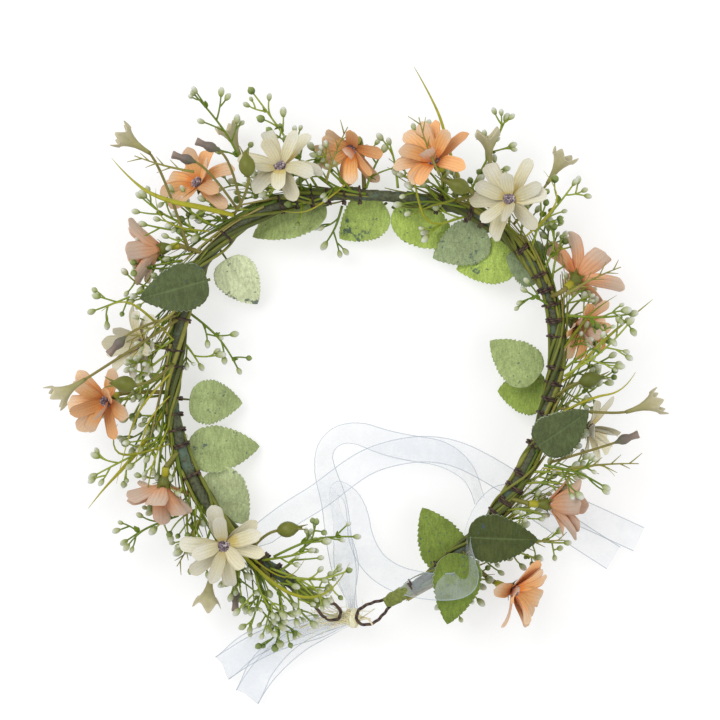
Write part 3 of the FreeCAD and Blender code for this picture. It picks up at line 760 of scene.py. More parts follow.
# ---- daisies --------------------------------------------------------------------
def petal_outline(v):
    """Half width of a strap petal over its length, 0..1."""
    if v < 0.45:
        return 0.40 + 0.58 * ease(v / 0.45)
    if v < 0.83:
        return 0.98 + 0.02 * math.sin(math.pi * (v - 0.45) / 0.76)
    return math.sqrt(max(0.0, 1.0 - 0.9 * ((v - 0.83) / 0.17) ** 2))


def add_petal(sheaf, where, length, width, tilt, curl, cup, rng):
    """One petal along +X: hollowed, grooved, curled and a little uneven. Its
    rows run over the inner face, across 0..0.47, and back under the outer."""
    rows = 12
    columns = 8
    shade = rng.random()
    wave = rng.uniform(0, 6.28)
    twist = rng.uniform(-22, 22)
    bow = rng.uniform(-1.8, 1.8)
    notch = rng.uniform(-0.3, 0.6)
    x = 1.0
    z = 0.0
    grid = []
    for i in range(rows + 1):
        v = i / rows
        lean = math.radians(tilt - curl * v * v + 7 * math.sin(wave + 3 * v))
        half = width / 2 * petal_outline(v)
        tip = ease((v - 0.8) / 0.2)
        spin = math.radians(twist) * v
        gap = 0.17 if 0 < i < rows else 0.0
        inner = []
        outer = []
        for j in range(columns + 1):
            u = 2 * j / columns - 1
            side = half * u
            rise = cup * half * u * u * (1 - 0.5 * tip)
            rise -= 0.26 * math.cos(3 * math.pi * u) * math.sin(math.pi * min(v * 1.1, 1))
            rise += 0.3 * math.sin(wave + 5 * v + 2 * u) * v
            ahead = -0.5 * tip * abs(u) ** 2 + notch * tip * math.exp(-8 * u * u) * -1
            side, rise = (side * math.cos(spin) - rise * math.sin(spin),
                          side * math.sin(spin) + rise * math.cos(spin))
            normal = Vector((-math.sin(lean), 0, math.cos(lean)))
            spot = Vector((x + ahead * math.cos(lean), side + bow * v * v, z + ahead * math.sin(lean)))
            spot += normal * rise
            inner.append(where @ (spot + normal * gap))
            outer.append(where @ (spot - normal * gap))
        grid.append(inner + outer[::-1])
        x += math.cos(lean) * length / rows
        z += math.sin(lean) * length / rows
    sheaf.grid(grid, shade, closed=True)


FORMS = {
    # tilts of the lower and upper layers, curl towards the tip
    "open": ((8, 24), 26),
    "cup": ((27, 45), 22),
    "bell": ((46, 58), 18),
}
LAYERS = ((6, 22.0, 7.8), (5, 20.0, 7.4))    # petals, their length and width
PEACH_WIDER = 1.14
NODDING_WIDER = 1.3    # peach flowers that show their backs


def add_daisy(petals, cores, row, rng):
    """Two die-cut layers of petals and a dome of beads."""
    name, side, form, hub, (azimuth, elevation), spin, size = row
    tilts, curl = FORMS[form]
    wider = 1.0
    if name.startswith("peach"):
        wider = NODDING_WIDER if elevation < 0 else PEACH_WIDER
    where = aim_z(hub, azimuth, elevation, spin)
    for layer, (count, long, wide) in enumerate(LAYERS):
        for i in range(count):
            angle = 360.0 * i / count + 30 * layer + rng.uniform(-12, 12)
            loose = {"bell": 0.5, "cup": 1.0, "open": 1.3}[form]
            tilt = tilts[layer] + rng.uniform(-12, 14) * loose
            bend = curl + rng.uniform(-18, 26) * loose
            if layer and rng.random() < 0.28 * loose:
                # a petal that stands up beside the middle
                tilt += rng.uniform(18, 36)
                bend = rng.uniform(-40, 10)
            place = where @ Matrix.Translation((0, 0, 0.6 * layer)) @ turn(angle, "Z")
            add_petal(petals, place, long * size * rng.uniform(0.9, 1.04),
                      wide * wider * size * rng.uniform(0.82, 1.12), tilt, bend,
                      rng.uniform(0.12, 0.34), rng)
    ball = ((0.0, -1.0), (0.62, -0.78), (0.95, -0.3), (0.95, 0.3), (0.62, 0.78), (0.0, 1.0))
    for i in range(34):
        # beads spread over a dome by the golden angle
        angle = i * 137.5
        reach = 3.1 * math.sqrt((i + 0.4) / 34)
        top = 3.4 - 0.16 * reach * reach
        radius = rng.uniform(0.5, 0.72)
        centre = (aim_z((0, 0, 0), 0, 90, angle) @ Vector((reach, 0, top))) + Vector(
            (0, 0, rng.uniform(-0.25, 0.3)))
        spot = where @ Matrix.Translation(centre) @ turn(rng.uniform(0, 180), "X")
        cores.turned([(r * radius, d * radius) for r, d in ball], spot, rng.random(), sides=7)


def add_calyx(stems, row, rng):
    """Green cup, sepals and ferrule behind the petals, and the stem to the band."""
    name, side, form, hub, (azimuth, elevation), spin, size = row
    back = aim_z(hub, azimuth, elevation, spin) @ turn(90, "Y")
    cup = ((0.2, -0.6), (3.2, -0.5), (3.0, 0.9), (2.3, 2.6), (1.7, 4.0), (1.35, 4.6))
    ferrule = ((1.3, 4.4), (1.75, 4.8), (1.85, 6.5), (1.75, 8.8), (1.1, 9.3))
    stems.turned(cup, back, 0.3, sides=14,
                 lobes=lambda a, v, r, d: (r * (1 + 0.07 * math.cos(7 * a)), d))
    stems.turned(ferrule, back, 1.0, sides=14)
    where = aim_z(hub, azimuth, elevation, spin)
    tilt = FORMS[form][0][0]
    for i in range(6):
        place = where @ turn(60 * i + 20, "Z") @ Matrix.Translation((0, 0, -0.7))
        strip = []
        for k in range(5):
            v = k / 4
            half = 1.3 * math.sin(math.pi * min(0.95, 0.25 + 0.7 * v)) ** 0.8 * (1 - 0.75 * v * v)
            lean = math.radians(tilt * 0.9)
            x = 1.6 + 4.6 * v * math.cos(lean)
            z = 4.6 * v * math.sin(lean) - 0.35
            strip.append([place @ Vector((x, half * u, z - 0.2 * u * u)) for u in (-1, 0, 1)])
        stems.grid(strip, 0.3 + 0.2 * rng.random())
    facing = heading(azimuth, elevation)
    start = Vector(hub) - facing * 8.9
    first = start - facing * 6.0
    centre = nearest_on_band(side, first)
    surface = centre + (first - centre).normalized() * (WRAP_RADIUS + 0.6)
    drop = (first - centre).length
    route = [start, start.lerp(surface, 0.5), surface] if drop < 12 else [start, first, surface]
    stems.tube(smooth(route, 8), lambda t: 1.3 - 0.2 * t, 0.5 + 0.25 * rng.random(), sides=9)


def build_daisies(paints):
    for index, row in enumerate(DAISIES):
        name, side = row[:2]
        rng = random.Random(100 + index)
        petals = Sheaf()
        beads = Sheaf()
        stems = Sheaf()
        add_daisy(petals, beads, row, rng)
        add_calyx(stems, row, rng)
        kind = "cream" if name.startswith("cream") else "peach"
        petals.piece(name + "_cloth", SIDE[side], paints[kind], kind + "_fabric",
                     (name + "_petals",), levels=1)
        beads.piece(name + "_beads", SIDE[side], paints["bead"], "flower_core", (name + "_core",))
        stems.piece(name + "_calyx", SIDE[side], paints["calyx"], "flower_core")


# ---- leaves -----------------------------------------------------------------------
def add_leaf(sheaf, stalks, base, azimuth, elevation, roll, length, shade, hinged, rng):
    """A broad serrated leaf, arched along its midrib, with raised veins."""
    rows = 110
    columns = 16
    half_width = 11.8 if hinged else 12.4
    start = 4.0 if hinged else -1.5    # a blade that bends stands clear of the stems
    teeth = 15
    wave = rng.uniform(0, 6.28)
    where = aim_x(base, azimuth, elevation, roll)
    grid = []
    for i in range(rows + 1):
        v = i / rows
        x = start + (length - start) * v
        outline = math.sin(math.pi * min(1.0, 0.02 + 0.98 * v ** 0.66)) ** 0.74
        tooth = (v * teeth) % 1.0
        notch = (0.9 + 0.4 * math.sin(wave + 23 * v)) * (tooth ** 1.4) * min(1, 4 * v, 6 * (1 - v))
        arch = math.sqrt(70.0 ** 2 - (x - 0.3 * length) ** 2) - 70.0
        row = []
        for j in range(columns + 1):
            u = 2 * j / columns - 1
            edge = abs(u) ** 6
            half = half_width * outline - notch * edge * outline
            vein = (v * 7.5 - 1.5 * abs(u) * outline + 0.3) % 1.0
            ribs = math.exp(-((vein - 0.5) / 0.13) ** 2) * (1 - abs(u)) * outline
            rise = arch - 0.55 * math.exp(-(u / 0.06) ** 2) * outline - 0.28 * ribs
            rise += 0.09 * abs(u) * half + 0.9 * math.sin(wave + 5.5 * v + u) * u * u * outline
            row.append(where @ Vector((x - 0.6 * edge * tooth, half * u, rise)))
        grid.append(row)
    sheaf.grid(grid, shade)
    stalk = [where @ Vector(p) for p in ((-3, 0, -1.5), (1, 0, -2.0), (6, 0, -1.9))]
    stalks.tube(smooth(stalk, 5), lambda t: 0.75 - 0.35 * t, 0.4, sides=7)


def build_leaves(paints):
    sheaves = {}
    for index, (node, body, base, (azimuth, elevation), roll, length, shade) in enumerate(LEAVES):
        blades, stalks, _ = sheaves.setdefault(node, (Sheaf(), Sheaf(), body))
        add_leaf(blades, stalks, base, azimuth, elevation, roll, length, shade,
                 body not in SIDE.values(), random.Random(300 + index))
    for node, (blades, stalks, body) in sheaves.items():
        blades.piece(node + "_blades", body, paints["leaf"], "leaf_fabric", (node,), thickness=0.35)
        stalks.piece(node + "_stalks", body, paints["stem"], "leaf_fabric")


# ---- sprigs, buds, trumpets, grass ---------------------------------------------------
def add_bud(buds, place, direction, size, shade, rng):
    """A small bud: a teardrop with a nipped tip, or a round berry."""
    where = aim_along(place, direction)
    if shade < 0.6:
        profile = ((0.25, -0.6), (0.75, -0.2), (1.35, 0.9), (1.6, 2.0), (1.45, 3.0),
                   (0.95, 3.9), (0.5, 4.3), (0.0, 4.35))
    else:
        profile = ((0.25, -0.5), (0.9, -0.3), (1.6, 0.5), (1.8, 1.5), (1.45, 2.5),
                   (0.8, 3.0), (0.35, 3.5), (0.0, 3.55))
    scaled = [(r * size, d * size) for r, d in profile]
    groove = rng.choice((3, 4, 5))
    buds.turned(scaled, where, shade, sides=12,
                lobes=lambda a, v, r, d: (r * (1 + 0.05 * math.cos(groove * a)), d))


def add_leaflet(stems, place, direction, size, shade, rng):
    """A tiny folded leaflet or bract."""
    where = aim_along(place, direction)
    where = where @ turn(rng.uniform(-60, 60), "X")
    strip = []
    for k in range(6):
        v = k / 5
        half = size * 0.3 * math.sin(math.pi * (0.08 + 0.92 * v)) ** 0.8
        strip.append([where @ Vector((size * v, half * u, 0.35 * half * u * u - 0.5 * v * v))
                      for u in (-1, 0, 1)])
    stems.grid(strip, shade)


def add_stalk(stems, buds, start, end, shade, kind, size, rng):
    """One curved stalk that ends in a bud."""
    aside = Vector((rng.uniform(-1, 1), rng.uniform(-1, 1), rng.uniform(-0.5, 1)))
    middle = start.lerp(end, 0.5) + aside * 0.16 * (end - start).length
    stalk = smooth((start, middle, end), 5)
    stems.tube(stalk, lambda t: 0.5 - 0.1 * t, shade, sides=5)
    add_bud(buds, end, stalk[-1] - stalk[-2], size, kind, rng)
    return stalk


def add_sprig(stems, buds, length, where, rng):
    """A forked twig along +X; its long stalks end in one to three buds."""
    shade = rng.uniform(0.2, 0.8)
    kind = rng.uniform(0.0, 0.8)
    spin = where.to_3x3()
    bend = rng.uniform(-0.25, 0.25) * length
    lift = rng.uniform(-0.03, 0.06) * length
    route = ((0, 0, 0), (0.4 * length, 0, lift), (0.75 * length, 0.4 * bend, lift), (length, bend, 0))
    curve = [where @ p for p in smooth(route, 7)]
    stems.tube(curve, lambda t: 0.7 - 0.25 * t, shade, sides=6)
    add_bud(buds, curve[-1], curve[-1] - curve[-3], rng.uniform(0.8, 1.15), kind, rng)
    count = max(2, int(length / 9.5))
    for i in range(count):
        t = 0.2 + 0.72 * (i + rng.uniform(0, 0.8)) / count
        start = curve[int(t * (len(curve) - 1))]
        angle = math.radians(rng.uniform(18, 56)) * (1 if i % 2 else -1)
        reach = rng.uniform(8, 15) * (1.15 - 0.45 * t)
        way = spin @ Vector((math.cos(angle), math.sin(angle), rng.uniform(-0.35, 0.5))).normalized()
        tint = kind + rng.uniform(-0.25, 0.25)
        stalk = add_stalk(stems, buds, start, start + way * reach, shade, tint,
                          rng.uniform(0.7, 1.15), rng)
        for turned_back in (1, -1):
            if rng.random() < 0.6:
                continue
            fork = stalk[len(stalk) // 2]
            aside = way + spin @ Vector((0, turned_back * rng.uniform(0.6, 1.2), rng.uniform(-0.5, 0.5)))
            end = fork + aside.normalized() * rng.uniform(3.5, 6.5)
            add_stalk(stems, buds, fork, end, shade, tint, rng.uniform(0.6, 0.95), rng)
        if rng.random() < 0.35:
            for _ in range(2):
                aside = Vector((rng.uniform(-1, 1), rng.uniform(-1, 1), rng.uniform(-1, 1)))
                add_leaflet(stems, start, way + aside * 0.7, rng.uniform(2.5, 4.5), 0.3, rng)


def add_bud_stem(stems, root, place, azimuth, elevation, radius, shade):
    """The stem of a larger bud, from the band to the back of the bud."""
    back = Vector(place) - heading(azimuth, elevation) * 7
    stems.tube(smooth((root, back, Vector(place)), 8), radius, shade, sides=7)


def add_trumpet(cups, stems, root, place, azimuth, elevation, rng):
    """A flared flower with four to five pointed lobes that roll back."""
    where = aim_x(place, azimuth, elevation, rng.uniform(0, 70))
    lobes = rng.choice((4, 5))
    wave = rng.uniform(0, 6.28)

    def lobed(angle, v, radius, distance):
        point = 1 - 2 * abs(math.sin(lobes * (angle + wave) / 2)) ** 1.4
        reach = radius * (1 + 0.1 * point * v ** 2)
        return reach, distance + 2.1 * point * v ** 3 + 0.7 * math.sin(angle + wave) * v
    profile = ((0.75, -1.5), (0.9, 0), (1.1, 3), (1.7, 6.5), (2.9, 9.8), (4.3, 12.4),
               (5.6, 14.2), (6.6, 15.2))
    cups.turned(profile, where, rng.random(), sides=20 * lobes, lobes=lobed)
    for i in range(3):
        thread = where @ turn(120 * i, "X")
        stamen = [thread @ Vector(p) for p in ((3, 0, 0), (9, 0.6, 0), (13.5, 1.6, 0))]
        stems.tube(stamen, 0.22, 0.7, sides=5)
    add_bud_stem(stems, root, place, azimuth, elevation, lambda t: 0.75 - 0.1 * t, 0.68)


def add_tube_bud(buds, stems, root, place, azimuth, elevation, rng):
    """A narrow closed bud: swollen base, waist and a square ribbed end."""
    where = aim_x(place, azimuth, elevation)
    profile = ((0.6, -1.0), (1.1, 0.5), (2.2, 2.2), (2.5, 3.8), (2.1, 5.4), (1.5, 7.0),
               (1.6, 9.0), (1.9, 10.6), (1.8, 11.3), (0.5, 11.1))
    buds.turned(profile, where, rng.random(), sides=20,
                lobes=lambda a, v, r, d: (r * (1 + 0.13 * math.cos(5 * a) * min(1, 2 * v)), d))
    add_bud_stem(stems, root, place, azimuth, elevation, lambda t: 0.7 - 0.1 * t, 0.7)


def add_olive_bud(buds, stems, root, place, azimuth, elevation, rng):
    """A closed round bud of folded sepals that ends in two points."""
    where = aim_x(place, azimuth, elevation, rng.uniform(0, 180))
    profile = ((0.7, -0.4), (1.8, 0.3), (3.2, 1.8), (4.0, 3.8), (4.05, 5.6), (3.4, 7.6),
               (2.2, 9.3), (1.2, 10.6), (0.75, 11.6), (0.3, 12.4), (0.0, 12.5))
    buds.turned(profile, where, 0.15 + 0.3 * rng.random(), sides=30,
                lobes=lambda a, v, r, d: (r * (0.94 + 0.06 * abs(math.cos(2.5 * a)) ** 0.4), d))
    for side in (-1, 1):
        points = ((9.2, 0.8 * side, 0), (12.0, 1.4 * side, 0), (15.0, 3.2 * side, 0.3))
        buds.tube([where @ p for p in smooth(points, 4)], lambda t: 0.75 * (1 - 0.8 * t), 0.6, sides=6)
    add_bud_stem(stems, root, place, azimuth, elevation, 0.75, 0.6)


def add_grass(blades, route, rng, width):
    """A narrow tapered blade, flattened, from the band to a fine tip."""
    curve = evenly(smooth(route, 8), 2.5)
    last = len(curve) - 1
    lean = rng.uniform(0, 3)
    rows = []
    for i, (point, ahead, side, up) in enumerate(frames(curve)):
        t = i / last
        size = width * (0.75 + 0.45 * math.sin(math.pi * min(1, t * 1.3))) * (1 - t ** 4) + 0.12
        angle = lean + 1.2 * t
        flat = side * math.cos(angle) + up * math.sin(angle)
        thick = ahead.cross(flat)
        rows.append([point + flat * size * math.cos(a) + thick * size * 0.62 * math.sin(a)
                     for a in (0, 0.9, 1.8, 2.7, 3.6, 4.5, 5.4)])
    blades.grid(rows, rng.random(), closed=True)


# Short sprigs over the top of the band: side, root, azimuth, elevation, length.
TOP_SPRIGS = (
    ("left", (-52, -80, 26), 8, 8, 24), ("left", (-44, -86, 26), 34, 4, 20),
    ("left", (-48, -84, 26), -18, 6, 26), ("left", (-40, -90, 26), -34, 2, 20),
    ("left", (-42, -92, 23), -62, -4, 24), ("left", (-54, -84, 23), -84, -6, 26),
    ("left", (-36, -94, 25), 4, 4, 16), ("left", (-58, -80, 26), -50, 4, 30),
    ("left", (0, 103, 25), 172, 8, 26), ("left", (-18, 103, 24), 204, 6, 20),
    ("left", (-99, 0, 20), 228, -6, 30), ("left", (-100, -12, 24), 240, -4, 26),
    ("left", (-96, -30, 22), 236, -8, 26), ("left", (-92, -44, 24), 246, -6, 24),
    ("left", (-100, 14, 18), 222, -10, 28), ("left", (-98, 24, 24), 216, 0, 22),
    ("left", (-84, 84, 24), 176, 2, 26), ("left", (-78, 88, 26), 150, 6, 24),
    ("left", (-92, 70, 22), 190, -6, 22), ("left", (-32, 104, 24), 100, 6, 22),
    ("left", (0, 106, 22), 70, 6, 20), ("right", (16, 106, 24), 96, 8, 22),
    ("right", (50, 96, 25), 168, 6, 32), ("right", (54, 93, 24), 196, 4, 24),
    ("right", (36, 101, 25), 136, 8, 20), ("right", (94, 46, 25), 150, 2, 16),
)
# Khaki forked twigs: side, root, azimuth, elevation, length.
ANTLERS = (
    ("left", (-84, 112, 44), 168, 4, 30), ("left", (-94, 44, 40), 214, 0, 28),
    ("left", (-84, -60, 24), 248, -6, 26), ("left", (-20, 108, 30), 70, 14, 30),
    ("right", (36, 110, 46), 112, 6, 30), ("right", (98, 52, 40), 28, 4, 30),
    ("right", (98, -34, 38), 6, 2, 36), ("right", (70, -74, 24), 8, -2, 30),
)
# Curled tendrils: side, route.
CURL_HALF_WIDTH = 0.5
CURLS = (
    ("left", ((-97, 14, 26), (-108, 2, 30), (-115, -9, 32), (-121, -28, 28), (-125, -42, 24))),
    ("left", ((-98, 2, 26), (-106, -6, 30), (-111, -18, 31), (-116, -34, 26))),
    ("left", ((-99, -14, 26), (-104, -26, 30), (-108, -38, 30), (-110, -52, 24))),
    ("right", ((99, 26, 26), (107, 38, 31), (114, 46, 34), (124, 52, 34))),
    ("right", ((24, 109, 30), (26, 98, 34), (29, 89, 35), (37, 86, 35), (45, 91, 34))),
    ("right", ((50, 102, 24), (40, 98, 33), (30, 96, 34), (22, 91, 33))),
    ("left", ((-10, 108, 26), (-22, 97, 32), (-33, 92, 33), (-42, 94, 32))),
    ("left", ((-98, -22, 26), (-120, -30, 27), (-128, -22, 27), (-124, -12, 27))),
    ("left", ((-78, 84, 30), (-92, 84, 40), (-104, 92, 42), (-103, 104, 42))),
    ("left", ((-60, -76, 28), (-44, -90, 26), (-34, -86, 30), (-30, -78, 32))),
    ("left", ((-96, 30, 28), (-110, 46, 40), (-122, 50, 42), (-130, 44, 40))),
    ("right", ((94, -8, 28), (110, 2, 40), (126, 4, 44), (132, 14, 42))),
    ("right", ((80, 82, 26), (92, 92, 34), (96, 104, 34), (88, 114, 32))),
    ("right", ((88, -34, 26), (104, -36, 32), (118, -30, 32), (124, -38, 28))),
)


def add_antler(stems, root, azimuth, elevation, length, rng):
    """A dry twig with fine prongs on both sides."""
    where = aim_x(root, azimuth, elevation, rng.uniform(-30, 30))
    spine = [where @ p for p in smooth(((0, 0, 0), (length / 2, 1.5, 0.5), (length, -1, 1)), 8)]
    stems.tube(spine, lambda t: 0.75 - 0.5 * t, 0.78, sides=6)
    for i in range(6):
        start = spine[int(len(spine) * (0.3 + 0.11 * i))]
        side = 1 if i % 2 else -1
        reach = rng.uniform(5, 9)
        tip = start + where.to_3x3() @ Vector((reach * 0.8, side * reach * 0.55, rng.uniform(-1, 2)))
        stems.tube(smooth((start, start.lerp(tip, 0.5) + Vector((0, 0, 0.6)), tip), 4),
                   lambda t: 0.42 - 0.28 * t, 0.78, sides=5)


def add_undergrowth(side, twigs, buds, stems, rng):
    """Stems and sprigs that leave the band on its outer side and lean the way
    they were laid, counter-clockwise seen from above."""
    curve = CURVES[side]
    spots = frames(curve)
    last = len(curve) - 1
    up = Vector((0, 0, 1))
    count = 36
    for i in range(count):
        share = 0.04 + 0.86 * (i + rng.uniform(0, 0.9)) / count
        point, ahead, _, _ = spots[int(share * last)]
        outward = ahead.cross(up)
        lean = math.radians(rng.uniform(14, 62))
        way = ahead * math.cos(lean) + outward * math.sin(lean)
        rise = math.radians(rng.uniform(-60, 35))
        root = point + (outward * math.cos(rise) + up * math.sin(rise)) * 2.6
        azimuth = math.degrees(math.atan2(way.y, way.x))
        where = aim_x(root, azimuth, rng.uniform(-8, 10), rng.uniform(-25, 25))
        add_sprig(twigs, buds, rng.uniform(15, 31), where, rng)
    count = 66
    for i in range(count):
        start = int(last * (0.02 + 0.88 * (i + rng.uniform(0, 0.8)) / count))
        reach = min(rng.uniform(26, 60), (last - start) * BAND_STEP * rng.uniform(0.55, 1.0))
        drift = rng.uniform(1, 18)
        rise = math.radians(rng.uniform(-55, 65))
        route = []
        for k in range(6):
            t = k / 5
            point, ahead, _, _ = spots[min(last, start + int(t * reach / BAND_STEP))]
            outward = ahead.cross(up)
            away = outward * math.cos(rise) + up * math.sin(rise)
            route.append(point + away * (3.1 + rng.uniform(0, 0.7)) + outward * drift * t * t)
        width = rng.uniform(0.5, 1.05)
        stems.tube(smooth(route, 5), lambda t: width * (1 - 0.75 * t), rng.uniform(0.25, 0.95), sides=6)


def on_side(rows, side):
    """The rows of a table that belong to one side, without their first entry."""
    return [row[1:] for row in rows if row[0] == side]


def build_trim(paints):
    for side, body in SIDE.items():
        rng = random.Random(500 if side == "left" else 600)
        twigs, sprig_buds = Sheaf(), Sheaf()
        for length, root, azimuth, elevation, roll in on_side(SPRIGS, side):
            add_sprig(twigs, sprig_buds, length, aim_x(root, azimuth, elevation, roll), rng)
        runners = Sheaf()
        add_undergrowth(side, twigs, sprig_buds, runners, rng)
        for root, azimuth, elevation, length in on_side(TOP_SPRIGS, side):
            add_sprig(twigs, sprig_buds, length, aim_x(root, azimuth, elevation), rng)
        for row in on_side(ANTLERS, side):
            add_antler(runners, *row, rng)
        runners.piece("runner_stems_" + side, body, paints["runner"], "vine_plastic")
        twigs.piece("twigs_" + side, body, paints["twig"], "sprig_plastic", ("sprigs_" + side,))
        sprig_buds.piece("frosted_buds_" + side, body, paints["bud"], "bud_plastic")
        cups, stalks = Sheaf(), Sheaf()
        for row in on_side(TRUMPETS, side):
            add_trumpet(cups, stalks, *row, rng)
        cups.piece("trumpet_cups_" + side, body, paints["trumpet"], "trumpet_fabric",
                   ("trumpets_" + side,), thickness=0.3)
        narrow, olive = Sheaf(), Sheaf()
        for row in on_side(TUBE_BUDS, side):
            add_tube_bud(narrow, stalks, *row, rng)
        for row in on_side(OLIVE_BUDS, side):
            add_olive_bud(olive, stalks, *row, rng)
        narrow.piece("tubular_buds_" + side, body, paints["mauve"], "bud_plastic", ("buds_" + side,))
        olive.piece("olive_buds_" + side, body, paints["calyx"], "bud_plastic")
        stalks.piece("bud_stalks_" + side, body, paints["calyx"], "vine_plastic")
        blades = Sheaf()
        for route, width in on_side(GRASS, side):
            add_grass(blades, route, rng, width)
        for route, in on_side(CURLS, side):
            add_grass(blades, route, rng, CURL_HALF_WIDTH)
        blades.piece("grass_blades_" + side, body, paints["grass"], "grass_plastic", ("grass_" + side,))


# ---- ribbons and knot ------------------------------------------------------------------
def ribbon_rows(route, width, gathered=(0, 0)):
    """Rows across a ribbon that follows a route and banks as it goes.
    gathered is how far from each end its pleats reach."""
    curve = evenly(smooth([p[:3] for p in route], 8), 1.1)
    banks = smooth([(p[3], i, 0) for i, p in enumerate(route)], 8)
    last = len(curve) - 1
    length = sum((b - a).length for a, b in zip(curve, curve[1:]))
    level = None
    rows = []
    for i, point in enumerate(curve):
        t = i / last
        ahead = (curve[min(i + 1, last)] - curve[max(i - 1, 0)]).normalized()
        sideways = ahead.cross(Vector((0, 0, 1)))
        if level is None:
            level = sideways.normalized()
        elif sideways.length > 0.5:
            sideways.normalize()
            level = level.lerp(sideways if sideways.dot(level) > 0 else -sideways, 0.6).normalized()
        flat = (level - ahead * level.dot(ahead)).normalized()
        bank = math.radians(banks[int(t * (len(banks) - 1))].x)
        across = flat * math.cos(bank) + flat.cross(ahead) * math.sin(bank)
        lift = ahead.cross(across)
        open_share = 1.0
        for reach, from_end in zip(gathered, (t * length, (1 - t) * length)):
            if reach:
                open_share = min(open_share, 0.3 + 0.7 * ease(from_end / reach))
        row = []
        for j in range(17):
            u = 2 * j / 16 - 1
            ripple = 0.4 * math.sin(i * 0.14 + 2.0 * u) + 0.3 * math.sin(i * 0.08 - 3 * u)
            pleat = 1.5 * (1 - open_share) * math.cos(4 * math.pi * u)
            row.append(point + across * (width / 2 * u * open_share) + lift * (ripple + pleat))
        rows.append(row)
    return rows, length


def add_ribbon(name, body, route, paints, replaced, gathered):
    """One length of ribbon along its route."""
    rows, length = ribbon_rows(route, RIBBON_WIDTH, gathered)
    strip = Sheaf()
    strip.grid(rows, 0.5)
    ribbon = strip.piece(name, body, paints["organza"], "organza", replaced)


def build_ribbons(paints):
    add_ribbon("tie_arch", "right_side", TIE_ARCH, paints, (), (26, 0))
    add_ribbon("tie_front", "right_side", TIE_FRONT, paints, ("tie_ribbon_right",), (26, 0))
    add_ribbon("tie_left", "left_side", TIE_LEFT, paints, ("tie_ribbon_left",), (16, 0))
    for index, loop in enumerate(BOW_LOOPS):
        add_ribbon("bow_loop_%d" % (index + 1), "bow", loop, paints,
                   ("bow_loops",) if index == 0 else (), (28, 58))


def build_knot(paints):
    rng = random.Random(77)
    cords = Sheaf()
    for i in range(7):
        # turns of cord round a lumpy core
        loop = []
        tilt = turn(rng.uniform(0, 180), "X") @ turn(rng.uniform(-50, 50), "Z")
        size = rng.uniform(3.6, 5.0)
        for k in range(25):
            angle = 2 * math.pi * k / 24
            spot = Vector((0.9 * math.sin(angle * 2 + i), size * math.cos(angle),
                           size * 0.9 * math.sin(angle)))
            loop.append(KNOT_PLACE + tilt @ spot)
        cords.tube(loop, 0.95, rng.random(), sides=8)
    for i in range(40):
        # frayed ends
        left = i % 4 != 0
        azimuth = rng.uniform(140, 205) if left else rng.uniform(-20, 40)
        start = KNOT_PLACE + Vector((rng.uniform(-2, 2), rng.uniform(-2, 2), rng.uniform(-1, 3)))
        way = heading(azimuth, rng.uniform(-6, 16))
        reach = rng.uniform(9, 26) if left else rng.uniform(5, 13)
        aside = Vector((rng.uniform(-3, 3), rng.uniform(-3, 3), rng.uniform(-1, 2)))
        route = (start, start + way * reach * 0.4 + aside, start + way * reach * 0.75,
                 start + way * reach - aside)
        cords.tube(smooth(route, 6), 0.16 if i % 5 else 0.5, rng.random(), sides=5)
    cords.piece("knot_cords", "right_side", paints["thread"], "knot_thread", ("ribbon_knot",))


# ---- the studio ----------------------------------------------------------------------------
def build_studio():
    scene = bpy.context.scene
    lens = bpy.data.cameras.new("camera")
    lens.lens = 85
    lens.sensor_width = 36
    camera = bpy.data.objects.new("camera", lens)
    camera.location = (-0.003, 0.020, 0.875)
    scene.collection.objects.link(camera)
    scene.camera = camera
    world = bpy.data.worlds.new("studio")
    world.use_nodes = True
    world.node_tree.nodes["Background"].inputs["Color"].default_value = (1, 1, 1, 1)
    world.node_tree.nodes["Background"].inputs["Strength"].default_value = 0.62
    scene.world = world
    for name, place, size, power in (
        ("key", (-0.5, 0.45, 0.9), 0.7, 6.0), ("fill", (0.7, -0.3, 0.7), 0.9, 3.0),
    ):
        lamp = bpy.data.lights.new(name, "AREA")
        lamp.energy = power
        lamp.size = size
        thing = bpy.data.objects.new(name, lamp)
        thing.location = place
        thing.rotation_euler = (-Vector(place)).to_track_quat("-Z", "Y").to_euler()
        scene.collection.objects.link(thing)
    floor = bpy.data.meshes.new("floor")
    reach = 3.0
    low = min(0.0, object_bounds()[0][2]) - 0.0005
    corners = [(-reach, -reach, low), (reach, -reach, low), (reach, reach, low), (-reach, reach, low)]
    floor.from_pydata(corners, [], [(0, 1, 2, 3)])
    ground = bpy.data.objects.new("floor", floor)
    scene.collection.objects.link(ground)
    paint = Paint("pale_floor", Roughness=0.9, Specular_IOR_Level=0.1)
    paint.shader.inputs["Base Color"].default_value = (0.45, 0.45, 0.45, 1)
    paint.shader.inputs["Emission Color"].default_value = (1, 1, 1, 1)
    paint.shader.inputs["Emission Strength"].default_value = 0.57
    floor.materials.append(paint.material)
    scene.view_settings.view_transform = "Standard"


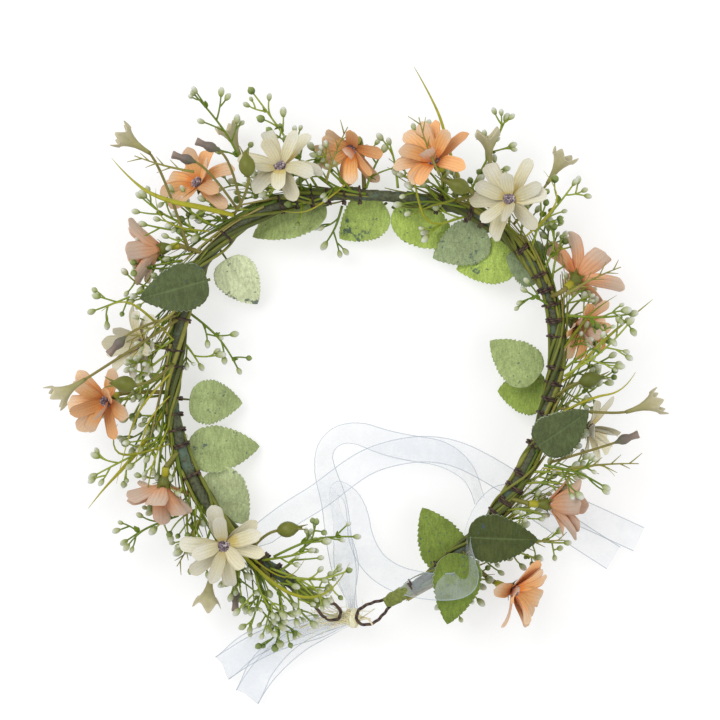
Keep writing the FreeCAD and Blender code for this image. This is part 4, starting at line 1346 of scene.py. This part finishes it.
def make_paints():
    return {
        # the last colour of each petal paint is its painted backlight, the brighter colour of petals lit from
        # behind
        "peach": petal_paint(
            "peach_petal_cloth", ((0.92, 0.27, 0.02), (0.90, 0.46, 0.15), (0.78, 0.55, 0.35)),
            ((0.66, 0.20, 0.05), (0.76, 0.38, 0.19), (0.70, 0.53, 0.41)),
            (0.50, 0.20, 0.09), (0.94, 0.40, 0.08)),
        "cream": petal_paint(
            "cream_petal_cloth", ((0.64, 0.50, 0.13), (0.69, 0.64, 0.41), (0.72, 0.70, 0.57)),
            ((0.55, 0.47, 0.22), (0.64, 0.60, 0.44), (0.69, 0.67, 0.56)),
            (0.46, 0.40, 0.27), (0.76, 0.70, 0.46)),
        "leaf": leaf_paint(),
        "stem": plastic_paint("vine_plastic", ((0.0, (0.045, 0.032, 0.015)), (0.3, (0.08, 0.10, 0.014)),
                                               (0.6, (0.15, 0.17, 0.02)), (1.0, (0.25, 0.24, 0.04)))),
        "twig": plastic_paint("sprig_plastic", ((0.0, (0.06, 0.11, 0.008)), (0.3, (0.13, 0.20, 0.013)),
                                                (0.6, (0.25, 0.32, 0.024)), (1.0, (0.42, 0.45, 0.10))), 0.35),
        "runner": plastic_paint("runner_plastic", ((0.0, (0.045, 0.085, 0.008)), (0.4, (0.11, 0.165, 0.013)),
                                                   (0.65, (0.22, 0.225, 0.024)), (1.0, (0.35, 0.28, 0.10)))),
        "calyx": plastic_paint("olive_plastic", ((0.0, (0.09, 0.11, 0.016)), (0.45, (0.16, 0.17, 0.024)),
                                                 (0.75, (0.23, 0.19, 0.05)), (1.0, (0.36, 0.33, 0.02)))),
        "grass": plastic_paint("grass_plastic", ((0.0, (0.20, 0.22, 0.01)), (0.5, (0.31, 0.31, 0.014)),
                                                 (1.0, (0.43, 0.39, 0.03)))),
        "trumpet": plastic_paint("trumpet_cloth", ((0.0, (0.21, 0.20, 0.05)), (0.5, (0.35, 0.32, 0.15)),
                                                   (1.0, (0.57, 0.52, 0.35))), 0.6, ramp_mark="along"),
        "mauve": plastic_paint("mauve_plastic", ((0.0, (0.12, 0.13, 0.06)), (0.35, (0.15, 0.125, 0.105)),
                                                 (1.0, (0.32, 0.235, 0.19))), 0.5, ramp_mark="along"),
        "bud": bud_paint(),
        "bead": bead_paint(),
        "organza": organza_paint(),
        "tape": tape_paint("floral_tape", (0.03, 0.032, 0.018), (0.11, 0.125, 0.05),
                           (0.085, 0.14, 0.10), 0.53),
        "end_tape": tape_paint("end_tape", (0.10, 0.13, 0.015), (0.24, 0.27, 0.05),
                               (0.10, 0.09, 0.04), 0.6),
        "wire": wire_paint(),
        "thread": thread_paint(),
    }


paints = make_paints()
build_band(paints)
build_daisies(paints)
build_leaves(paints)
build_trim(paints)
build_knot(paints)
build_ribbons(paints)
build_studio()
